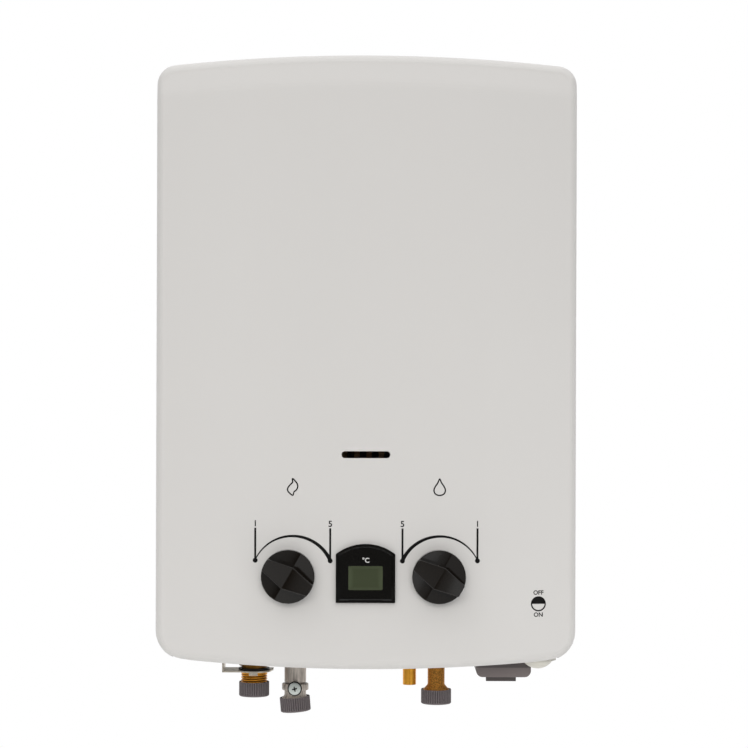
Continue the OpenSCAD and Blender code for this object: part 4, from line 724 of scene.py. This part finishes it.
COLD_END = -270.5
COLD_THREAD = 10.0
COLD_THREAD_TOP = COLD_END + COLD_THREAD
COLD_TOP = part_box("cold_inlet")[1].z / MM
COLD_R, COLD_BORE_R = 6.75, 4.6
SOCKET_R, SOCKET_H = 10.0, 6.0
FLARE_H, FLARE_LIP, FLARE_END = 3.6, 0.5, 1.0
flare_top = COLD_THREAD_TOP + FLARE_H
cold_profile = (
    [(COLD_BORE_R, COLD_TOP), (COLD_BORE_R, COLD_END), (THREAD_R - THREAD_LEAD, COLD_END)]
    + thread_rows(COLD_END, COLD_THREAD_TOP)
    + [(THREAD_R, COLD_THREAD_TOP), (COLD_R + FLARE_LIP, flare_top), (COLD_R, flare_top + FLARE_END),
       (COLD_R, COLD_TOP - SOCKET_H), (SOCKET_R, COLD_TOP - SOCKET_H), (SOCKET_R, COLD_TOP)])
cold_mesh = fitting("cold_fitting", cold_profile, helix(COLD_END, COLD_THREAD_TOP), COLD_X)
add_piece("cold_fitting", cold_mesh, "heater", dark_brass, "cold_inlet")
print("hot and cold fittings threaded at", PITCH, "mm")

# %% [markdown]
# ## Gas inlet
# The gas inlet is a cast tube: a collar ring round it, a round boss in front that a tapping screw
# closes, a flange on top and the same thread below. Its round parts are one lathed shell, and the boss
# and the flange are separate closed shells that run into it, as cast parts blend.

# %% Gas inlet
GAS_TUBE_R = 8.6
GAS_RING_R = 10.5
GAS_THREAD_TOP = GAS_END + GAS_THREAD
RING_GAP, RING_H, RING_ROUND = 6.4, 5.3, 0.8
RING_LOW = GAS_THREAD_TOP + RING_GAP
RING_HIGH = RING_LOW + RING_H
SHOULDER_LOW, SHOULDER_HIGH, SHOULDER_LIP = 2.2, 2.8, 0.2
GAS_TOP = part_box("gas_inlet")[1].z / MM
GAS_BORE_R = 6.5
TAP_Z = (RING_LOW + RING_HIGH) / 2
TAP_R, TAP_BORE_R, TAP_ROOT, TAP_BEVEL, TAP_OUT = 5.2, 1.6, 8.0, 0.5, 2.5
TAP_SIDES = 48
tap_reach = GAS_RING_R + TAP_OUT
SEAM_H, SEAM_DEPTH = 0.8, 0.7
FOOT_HALF_X, FOOT_HALF_Y, FOOT_H, FOOT_ROUND = 17.0, 15.0, 4.0, 0.6
gas_profile = (
    [(GAS_BORE_R, GAS_TOP), (GAS_BORE_R, GAS_END), (THREAD_R - THREAD_LEAD, GAS_END)]
    + thread_rows(GAS_END, GAS_THREAD_TOP)
    + [(THREAD_R, GAS_THREAD_TOP), (GAS_TUBE_R + SHOULDER_LIP, GAS_THREAD_TOP + SHOULDER_LOW),
       (GAS_TUBE_R, GAS_THREAD_TOP + SHOULDER_HIGH), (GAS_TUBE_R, RING_LOW)]
    + round_corner(GAS_RING_R - RING_ROUND, RING_LOW + RING_ROUND, RING_ROUND, -90, 0)
    + round_corner(GAS_RING_R - RING_ROUND, RING_HIGH - RING_ROUND, RING_ROUND, 0, 90)
    + spread((GAS_TUBE_R, RING_HIGH), (GAS_TUBE_R, RING_HIGH + 2 * SEAM_H), 4) + [(GAS_TUBE_R, GAS_TOP)])
gas_thread = helix(GAS_END, GAS_THREAD_TOP)


def gas_shift(radius, height, turn):
    """The thread, and a seam cut where the collar ends on the tube, which the finish darkens as painted
    shade.
    """
    in_seam = radius == GAS_TUBE_R and RING_HIGH <= height <= RING_HIGH + SEAM_H
    return SEAM_DEPTH if in_seam else gas_thread(radius, height, turn)


gas_mesh = fitting("gas_fitting", gas_profile, gas_shift, GAS_X)
boss_profile = [(TAP_BORE_R, TAP_ROOT), (TAP_BORE_R, tap_reach), (TAP_R - TAP_BEVEL, tap_reach),
                (TAP_R, tap_reach - TAP_BEVEL), (TAP_R, TAP_ROOT)]
boss = lathe("tap_boss", boss_profile, TAP_SIDES)
boss.transform(at(GAS_X, CONNECTION_Y, TAP_Z) @ TO_FRONT)


def block(low, high, rounding):
    """A plate with rounded edges between two corners, in mm."""
    work = bmesh.new()
    bmesh.ops.create_cube(work, size=1)
    size = [b - a for a, b in zip(low, high)]
    middle = [(a + b) / 2 for a, b in zip(low, high)]
    for vert in work.verts:
        vert.co = Vector([(m + s * c) * MM for m, s, c in zip(middle, size, vert.co)])
    bmesh.ops.bevel(work, geom=work.edges[:], offset=rounding * MM, segments=2, affect="EDGES")
    mesh = bpy.data.meshes.new("block")
    work.to_mesh(mesh)
    work.free()
    return mesh


foot = block((GAS_X - FOOT_HALF_X, CONNECTION_Y - FOOT_HALF_Y, GAS_TOP - FOOT_H),
             (GAS_X + FOOT_HALF_X, CONNECTION_Y + FOOT_HALF_Y, GAS_TOP), FOOT_ROUND)
add_piece("gas_fitting", join("gas_fitting", [gas_mesh, boss, foot]), "heater", cast_alloy,
          "gas_inlet")
print("gas inlet collar from", RING_LOW, "to", RING_HIGH)

# %% [markdown]
# ## Screws
# A pan-head screw is a low dome with a cross-shaped recess. The dome is lathed, and the recess is a
# tapered cross taken out with a Boolean modifier that is applied at once, so only the finished screw
# stays. The cutter carries a dark finish, and the cut faces take it over as painted shade in the recess.

# %% Cross-recess screws
RECESS_TAPER = 0.7
RECESS_TURN = math.radians(12)
ARM_SHARE, ARM_HALF_SHARE, RECESS_FLOOR = 0.5, 0.13, 0.1
EDGE_SHARE = 0.45
POINT_SHARE, POINT_L = 0.6, 0.6
SCREW_SIDES = 48


def cross_plug(arm, half, low, high):
    """A tapered plug with a cross section of four arms, in mm."""
    section = []
    for quarter in range(4):
        turn = quarter * math.pi / 2 + RECESS_TURN
        for x, y in ((arm, -half), (arm, half), (half, half)):
            section.append((x * math.cos(turn) - y * math.sin(turn), x * math.sin(turn) + y * math.cos(turn)))
    ends = ((low, RECESS_TAPER), (high, 1))
    verts = [(x * size * MM, y * size * MM, z * MM) for z, size in ends for x, y in section]
    plug = loft("cross_plug", verts, len(section))
    # Painted shade: the recess's cut faces take this dark finish.
    plug.materials.append(black_steel_and_shade)
    return plug


def pan_screw(name, head_r, head_h, shank_r, shank_l):
    """A screw whose head stands on the XY plane and points along +Z, in mm."""
    dome = [(head_r * math.cos(t), head_h * (EDGE_SHARE + (1 - EDGE_SHARE) * math.sin(t)))
            for t in (math.pi / 2 * i / 8 for i in range(8))]
    shank = [(AXIS_R, -shank_l), (shank_r * POINT_SHARE, -shank_l), (shank_r, -shank_l + POINT_L),
             (shank_r, 0), (head_r, 0)]
    mesh = join(name, [lathe(name, shank + dome + [(AXIS_R, head_h)], SCREW_SIDES)])
    mesh.materials.append(screw_zinc)
    screw = bpy.data.objects.new(name, mesh)
    plug = cross_plug(ARM_SHARE * head_r, ARM_HALF_SHARE * head_r, RECESS_FLOOR * head_h, 2 * head_h)
    cutter = bpy.data.objects.new("cutter", plug)
    for obj in (screw, cutter):
        scene.collection.objects.link(obj)
    cut = screw.modifiers.new("recess", "BOOLEAN")
    cut.object = cutter
    cut.operation = "DIFFERENCE"
    cut.material_mode = "TRANSFER"
    bpy.context.view_layer.update()
    finished = bpy.data.meshes.new_from_object(screw.evaluated_get(bpy.context.evaluated_depsgraph_get()))
    for obj in (screw, cutter):
        bpy.data.objects.remove(obj)
    return finished


print("recess taper:", RECESS_TAPER)

# %% [markdown]
# ## Where the screws go
# The tapping screw on the gas inlet faces the viewer, with a washer under its head whose dark finish
# is painted shade round the head. Four more hold the cover at its sides.

# %% Tapping screw and side screws
WASHER_R, WASHER_BORE_R, WASHER_T, WASHER_BEVEL = 5.7, 1.7, 2.0, 0.2
TAP_SCREW = {"head_r": 4.8, "head_h": 2.2, "shank_r": 1.5, "shank_l": 5.4}
SIDE_SCREW = {"head_r": 3.8, "head_h": 2.0, "shank_r": 1.9, "shank_l": 3.6}
washer_face = WASHER_R - WASHER_BEVEL
washer = lathe("washer", [(WASHER_BORE_R, 0), (WASHER_BORE_R, WASHER_T), (washer_face, WASHER_T),
                          (WASHER_R, WASHER_T - WASHER_BEVEL), (WASHER_R, WASHER_BEVEL), (washer_face, 0)],
               SCREW_SIDES)
# Painted shade: the washer takes the recess's dark finish.
for face in washer.polygons:
    face.material_index = 1
tap_screw = pan_screw("tap_screw", **TAP_SCREW)
tap_screw.transform(at(0, 0, WASHER_T))
tap_screw = join("tap_screw", [tap_screw, washer])
tap_screw.transform(at(GAS_X, CONNECTION_Y - tap_reach, TAP_Z) @ TO_FRONT)
add_piece("tap_screw", tap_screw, "heater", screw_zinc, "pressure_tap_screw")

SIDE_SCREW_Y = -8.5
SIDE_SCREW_Z = (-176.0, 166.0)
HALF_W = 162.5
side_screws = []
for side in (-1, 1):
    for height in SIDE_SCREW_Z:
        mesh = pan_screw("side_screw", **SIDE_SCREW)
        mesh.transform(at(side * HALF_W, SIDE_SCREW_Y, height) @ Matrix.Rotation(side * math.pi / 2, 4, "Y"))
        side_screws.append(mesh)
screws = join("side_screws", side_screws)
add_piece("side_screws", screws, "heater", screw_zinc, "cover_screws")
print("screws:", 1 + len(side_screws))

# %% [markdown]
# ## Bracket gusset
# The outlet's bracket keeps its full depth as far as its eye, so its front edge runs level. A small
# plate of the same sheet fills the corner between the slanting arm and the eye. It lies in the sheet's
# own plane and shares its edges, so the two read as one pressing.

# %% Bracket gusset
EYE_R, ARM_REACH, ARM_FRONT = 14.0, 25.0, 10.0
ARM_MEETS_EYE = 4.3
SHEET, TONGUE_DROP = 1.2, 2.1
ARC_STEPS = 8
sheet_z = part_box("outlet_bracket")[0].z / MM + TONGUE_DROP
start_turn = math.pi + math.asin(ARM_FRONT / EYE_R)
end_turn = math.pi - math.asin(ARM_MEETS_EYE / EYE_R)
outline = [(-ARM_REACH, -ARM_FRONT)]
for step in range(ARC_STEPS + 1):
    turn = start_turn + (end_turn - start_turn) * step / ARC_STEPS
    outline.append((EYE_R * math.cos(turn), EYE_R * math.sin(turn)))
verts = [(x * MM, y * MM, z * MM) for z in (0, SHEET) for x, y in outline]
gusset = join("bracket_gusset", [loft("gusset", verts, len(outline))])
gusset.transform(at(HOT_X, CONNECTION_Y, sheet_z))
add_piece("bracket_gusset", gusset, "heater", bracket_zinc)
print("gusset of", len(outline), "corners")

# %% [markdown]
# ## Return spring
# A coil spring inside pushes the valve's rod back when the water stops. A rigid coil would be cut by
# the rod's seat as the rod moves. The spring is wound again as one tube along a helix.

# %% Return spring
spring_low, spring_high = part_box("rod_spring")
COIL_R, WIRE_R = 4.4, 0.6
COIL_TURNS, TURN_STEPS, WIRE_SIDES = 6, 24, 10
coil_middle = (spring_low + spring_high) / 2
coil_start = spring_low.x / MM + WIRE_R
free_length = (spring_high.x - spring_low.x) / MM
coil_length = free_length - 2 * WIRE_R
coil_steps = COIL_TURNS * TURN_STEPS
verts = []
for step in range(coil_steps + 1):
    turn = 2 * math.pi * step / TURN_STEPS
    for k in range(WIRE_SIDES):
        round_wire = 2 * math.pi * k / WIRE_SIDES
        reach = COIL_R + WIRE_R * math.cos(round_wire)
        along = coil_start + coil_length * step / coil_steps + WIRE_R * math.sin(round_wire)
        verts.append((along * MM, coil_middle.y + reach * math.cos(turn) * MM,
                      coil_middle.z + reach * math.sin(turn) * MM))
coil = join("return_spring", [loft("coil", verts, WIRE_SIDES)])
spring = add_piece("return_spring", coil, "heater", bright_steel, "rod_spring")
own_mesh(spring)
print("spring of", COIL_TURNS, "turns,", round(free_length, 2), "mm long")

# %% [markdown]
# ## Printed marks
# The dials are printed on the bowed front: a tapering arc over each knob, a dot and a leader at each
# end, plain numbers, a flame and a drop, and a half-filled disc between OFF and ON. Ink is thin but
# real, so each mark is a flat shape bent onto the front and given a tenth of a millimetre of body.

# %% Marks on the bowed front
BOW = 16.0
BOW_R = (HALF_W ** 2 + BOW ** 2) / (2 * BOW)
INK_LIFT, INK_T = 0.09, 0.1


def on_front(x, z):
    y = CROWN_Y / MM + BOW_R - math.sqrt(BOW_R ** 2 - x * x) - INK_LIFT
    return (x * MM, y * MM, z * MM)


marks = {"verts": [], "faces": []}


def add_mark(points, faces):
    start = len(marks["verts"])
    marks["verts"] += points
    marks["faces"] += [tuple(start + i for i in face) for face in faces]


def stroke(path, widths, closed=False):
    """A band along a path of (x, z) points, as wide at each point as widths says."""
    count = len(path)
    edge = []
    for i, (x, z) in enumerate(path):
        before = path[i - 1] if i or closed else path[i]
        after = path[(i + 1) % count] if i + 1 < count or closed else path[i]
        dx, dz = after[0] - before[0], after[1] - before[1]
        length = math.hypot(dx, dz)
        across = (-dz / length * widths[i] / 2, dx / length * widths[i] / 2)
        edge += [(x + across[0], z + across[1]), (x - across[0], z - across[1])]
    last = count if closed else count - 1
    around = 2 * count
    add_mark(edge, [(2 * i, 2 * i + 1, (2 * i + 3) % around, (2 * i + 2) % around) for i in range(last)])


def disc(x, z, radius, start=0, end=360, steps=32):
    rim = [math.radians(start + (end - start) * i / steps) for i in range(steps + 1)]
    points = [(x, z)] + [(x + radius * math.cos(t), z + radius * math.sin(t)) for t in rim]
    add_mark(points, [(0, i + 1, i + 2) for i in range(steps)])


FLAME_DIAL_X, WATER_DIAL_X = -55.9, 57.0
ARC_R, ARC_Z = 31.7, -165.2
ARC_FROM, ARC_SWEEP, ARC_PARTS = 155, 130, 48
THIN, THICK = 0.75, 2.9
DOT_OUT, DOT_Z, DOT_R = 28.8, -152.3, 1.9
LEADER_TOP, LEADER_W = -127.4, 1.5
for centre_x, thick_right in ((FLAME_DIAL_X, True), (WATER_DIAL_X, False)):
    shares = [i / ARC_PARTS for i in range(ARC_PARTS + 1)]
    turns = [math.radians(ARC_FROM - ARC_SWEEP * share) for share in shares]
    path = [(centre_x + ARC_R * math.cos(t), ARC_Z + ARC_R * math.sin(t)) for t in turns]
    stroke(path, [THIN + (THICK - THIN) * (share if thick_right else 1 - share) for share in shares])
    for side in (-1, 1):
        dot_x = centre_x + side * DOT_OUT
        disc(dot_x, DOT_Z, DOT_R)
        stroke([(dot_x, DOT_Z), (dot_x, LEADER_TOP)], [LEADER_W, LEADER_W])
print("mark faces so far:", len(marks["faces"]))

# %% [markdown]
# ## Pictograms
# The flame and the drop are drawn from a few smooth control points with a closed Catmull-Rom curve, so
# a thin line of even width runs round them.

# %% Flame, drop and power disc
def curve_value(a, b, c, d, share):
    """One coordinate of a Catmull-Rom curve, a share of the way from b to c."""
    square = 2 * a - 5 * b + 4 * c - d
    cube = 3 * b - a - 3 * c + d
    return 0.5 * (2 * b + (c - a) * share + square * share ** 2 + cube * share ** 3)

def smooth_loop(points, steps=8):
    path = []
    count = len(points)
    for i in range(count):
        four = [points[(i + k - 1) % count] for k in range(4)]
        for step in range(steps):
            path.append(tuple(curve_value(*values, step / steps) for values in zip(*four)))
    return path


LINE = 1.0
flame_shape = [(-0.2, 6.4), (2.0, 4.6), (3.8, 1.6), (3.2, -1.6), (1.0, -3.8), (0.2, -6.2), (-1.8, -5.2),
               (-3.8, -2.8), (-3.7, -0.6), (-1.9, 1.8), (-0.1, 3.8)]
drop_side = [(1.4, 3.4), (3.4, 0.4), (4.4, -2.4), (3.2, -5.2)]
drop_shape = [(0, 6.3)] + drop_side + [(0, -6.3)] + [(-x, z) for x, z in reversed(drop_side)]
FLAME_SIGN, DROP_SIGN = (-56.0, -96.0), (56.6, -95.8)
for shape, (x, z) in ((flame_shape, FLAME_SIGN), (drop_shape, DROP_SIGN)):
    path = [(x + px, z + pz) for px, pz in smooth_loop(shape)]
    stroke(path, [LINE] * len(path), closed=True)
POWER_X, POWER_Z, POWER_R = 133.1, -185.7, 5.7
RING_R, HALF_DISC_R, RING_PARTS = POWER_R - 0.4, POWER_R - 0.5, 48
ring = [(POWER_X + RING_R * math.cos(t), POWER_Z + RING_R * math.sin(t))
        for t in (2 * math.pi * i / RING_PARTS for i in range(RING_PARTS))]
stroke(ring, [LINE] * RING_PARTS, closed=True)
disc(POWER_X, POWER_Z, HALF_DISC_R, 0, 180)
BOLD = 0.1
LETTER_SIZE = 1.42


def text_mesh(text, height_mm):
    """Flat lettering as a mesh in mm, centred on the origin in X and Y."""
    curve = bpy.data.curves.new("lettering", "FONT")
    curve.body = text
    curve.size = height_mm * LETTER_SIZE
    curve.offset = BOLD
    curve.align_x = "CENTER"
    curve.align_y = "CENTER"
    curve.resolution_u = 6
    holder = bpy.data.objects.new("lettering", curve)
    scene.collection.objects.link(holder)
    bpy.context.view_layer.update()
    mesh = bpy.data.meshes.new_from_object(holder.evaluated_get(bpy.context.evaluated_depsgraph_get()))
    bpy.data.objects.remove(holder)
    return mesh


def letter(text, x, z, height_mm):
    mesh = text_mesh(text, height_mm)
    add_mark([(x + v.co.x, z + v.co.y) for v in mesh.vertices], [tuple(p.vertices) for p in mesh.polygons])


NUMBER_Z, NUMBER_H = -124.2, 4.6
WORD_OUT, WORD_H = 8.5, 3.2
for centre_x, (left, right) in ((FLAME_DIAL_X, "15"), (WATER_DIAL_X, "51")):
    letter(left, centre_x - DOT_OUT, NUMBER_Z, NUMBER_H)
    letter(right, centre_x + DOT_OUT, NUMBER_Z, NUMBER_H)
letter("OFF", POWER_X, POWER_Z + WORD_OUT, WORD_H)
letter("ON", POWER_X, POWER_Z - WORD_OUT, WORD_H)


def ink_piece(name, verts, faces, material):
    work = bmesh.new()
    work.from_mesh(mesh_from(name, verts, faces))
    bmesh.ops.remove_doubles(work, verts=work.verts, dist=0.0005 * MM)
    for face in work.faces:
        if face.normal.y > 0:
            face.normal_flip()
    mesh = bpy.data.meshes.new(name)
    work.to_mesh(mesh)
    work.free()
    obj = add_piece(name, mesh, "heater", material)
    body = obj.modifiers.new("ink_body", "SOLIDIFY")
    body.thickness = INK_T * MM
    body.offset = -1
    return obj


ink_piece("printed_marks", [on_front(x, z) for x, z in marks["verts"]], marks["faces"], ink)
print("marks:", len(marks["faces"]), "faces")

# %% [markdown]
# ## Display lettering
# The display's frame says only what it shows: degrees, in white, on the flat band above the screen.

# %% Display lettering
FRAME_FACE_Y = -152.5
UNIT_X, UNIT_Z, UNIT_H = 0.2, -151.8, 3.6
unit = text_mesh("°C", UNIT_H)
unit_verts = [((UNIT_X + v.co.x) * MM, (FRAME_FACE_Y - INK_LIFT) * MM, (UNIT_Z + v.co.y) * MM)
              for v in unit.vertices]
ink_piece("display_unit", unit_verts, [tuple(p.vertices) for p in unit.polygons], white_ink)
print("display lettering placed")

# %% [markdown]
# ## Floor
# The heater hangs clear of a pale round floor. In its middle the floor is real and takes the heater's
# shadow; outwards it fades to the plain white of the studio, so no edge and no horizon show. Metal and
# glass mirror that white on the backdrop's side only; towards the camera lies the dim room.

# %% Floor
FLOOR_Z = -0.56
FLOOR_R = 1.1
FLOOR_SIDES = 64
FADE_START, FADE_END = 0.5, 1.0
BACKDROP_START, BACKDROP_END = -0.5, 0.5
turns = [2 * math.pi * k / FLOOR_SIDES for k in range(FLOOR_SIDES)]
floor_rim = [(FLOOR_R * math.cos(t), FLOOR_R * math.sin(t), FLOOR_Z) for t in turns]
floor_mesh = mesh_from("studio_floor", floor_rim, [tuple(range(FLOOR_SIDES))])
floor = bpy.data.objects.new("studio_floor", floor_mesh)
scene.collection.objects.link(floor)
floor_paint = make_finish("studio_floor", linear(244, 244, 243), 0.8, drift=0.004, grain=0.01)
floor_mesh.materials.append(floor_paint)


def ray_is(start, *kinds):
    """1 for a ray of one of these kinds, else 0."""
    flags = [start.node("LightPath", out="Is " + kind + " Ray") for kind in kinds]
    return sum(flags[1:], flags[0])


tree = floor_paint.node_tree
start = Wire(tree)
place = start.node("TexCoord", out="Object")
flat_place = start.node("VectorMath", {"operation": "MULTIPLY"}, {0: place, 1: (1, 1, 0)})
reach = start.node("VectorMath", {"operation": "LENGTH"}, {0: flat_place}, out="Value")
far = start.node("MapRange", inputs={"Value": reach, "From Min": FADE_START, "From Max": FADE_END})
depth = place.along((0, 1, 0))
behind = start.node("MapRange", inputs={"Value": depth, "From Min": BACKDROP_START, "From Max": BACKDROP_END})
seen = far * (ray_is(start, "Camera") + ray_is(start, "Glossy", "Transmission") * behind)
paint = Wire(tree, tree.nodes["Principled BSDF"].outputs[0])
white = start.node("Emission", inputs={"Color": (1, 1, 1, 1), "Strength": 1.0})
both = start.node("MixShader", inputs={0: seen, 1: paint, 2: white})
tree.links.new(both.socket, tree.nodes["Material Output"].inputs["Surface"])
print("floor at", FLOOR_Z)

# %% [markdown]
# ## The room
# The backdrop is white to the camera, and metal and glass mirror it where they face it. The rest of
# the room, in front of the heater, is what glossy black plastic mirrors: dim in the middle, where the
# camera stands, with a pale wall on the left, a greyer one on the right and a bright ceiling. That
# contrast is what makes facets and edges readable on black.

# %% The room
world = bpy.data.worlds.new("studio")
scene.world = world
world.use_nodes = True
world.node_tree.nodes.clear()
start = Wire(world.node_tree)
facing = start.node("TexCoord", out="Generated")


def towards(direction):
    return facing.along(direction)


sideways = 0.5 + 0.5 * towards((1, 0, 0))
walls = sideways.steps((0, 0.32), (0.25, 0.3), (0.37, 0.7), (0.43, 0.08), (0.55, 0.04), (0.6, 0.35),
                       (0.75, 0.25), (1, 0.32))
ceiling = towards((0, 0, 1)).steps((0.35, 0), (0.7, 0.9))
backdrop = start.node("MapRange", inputs={"Value": towards((0, 1, 0)), "From Min": 0.0, "From Max": 0.2})
seen = ray_is(start, "Camera") + ray_is(start, "Glossy", "Transmission") * backdrop
room = start.node("Background", inputs={"Color": (1, 1, 1, 1), "Strength": walls + ceiling})
white = start.node("Background", inputs={"Color": (1, 1, 1, 1), "Strength": 1.0})
both = start.node("MixShader", inputs={0: seen, 1: room, 2: white})
start.node("OutputWorld", inputs={"Surface": both})
print("world:", world.name)

# %% [markdown]
# ## Lamps
# One large lamp stands above the camera and one on each side, so the bowed front is lit evenly and
# falls off a little towards its sides. The upper lamps are slightly warm, the low one is neutral. The
# front lamp stands for light bounced off the whole ceiling, so it makes no mirror image of its own.

# %% Lamps
WARM = (1, 0.985, 0.955)
NEUTRAL = (0.96, 0.985, 1)


def softbox(name, place, size, power, colour):
    lamp = bpy.data.lights.new(name, "AREA")
    lamp.shape = "RECTANGLE"
    lamp.size, lamp.size_y = size
    lamp.energy = power
    lamp.color = colour
    obj = bpy.data.objects.new(name, lamp)
    scene.collection.objects.link(obj)
    obj.location = place
    obj.rotation_euler = (-Vector(place)).to_track_quat("-Z", "Y").to_euler()
    return obj


softbox("key", (-1.4, -2.4, 0.6), (1.4, 1.4), 2.5, WARM)
softbox("fill", (1.4, -2.4, -0.7), (1.4, 1.6), 5, NEUTRAL)
softbox("front", (0, -3.0, 0.8), (1.6, 0.9), 30.5, WARM).visible_glossy = False
scene.view_settings.view_transform = "Standard"
print("lamps:", len(bpy.data.lights))
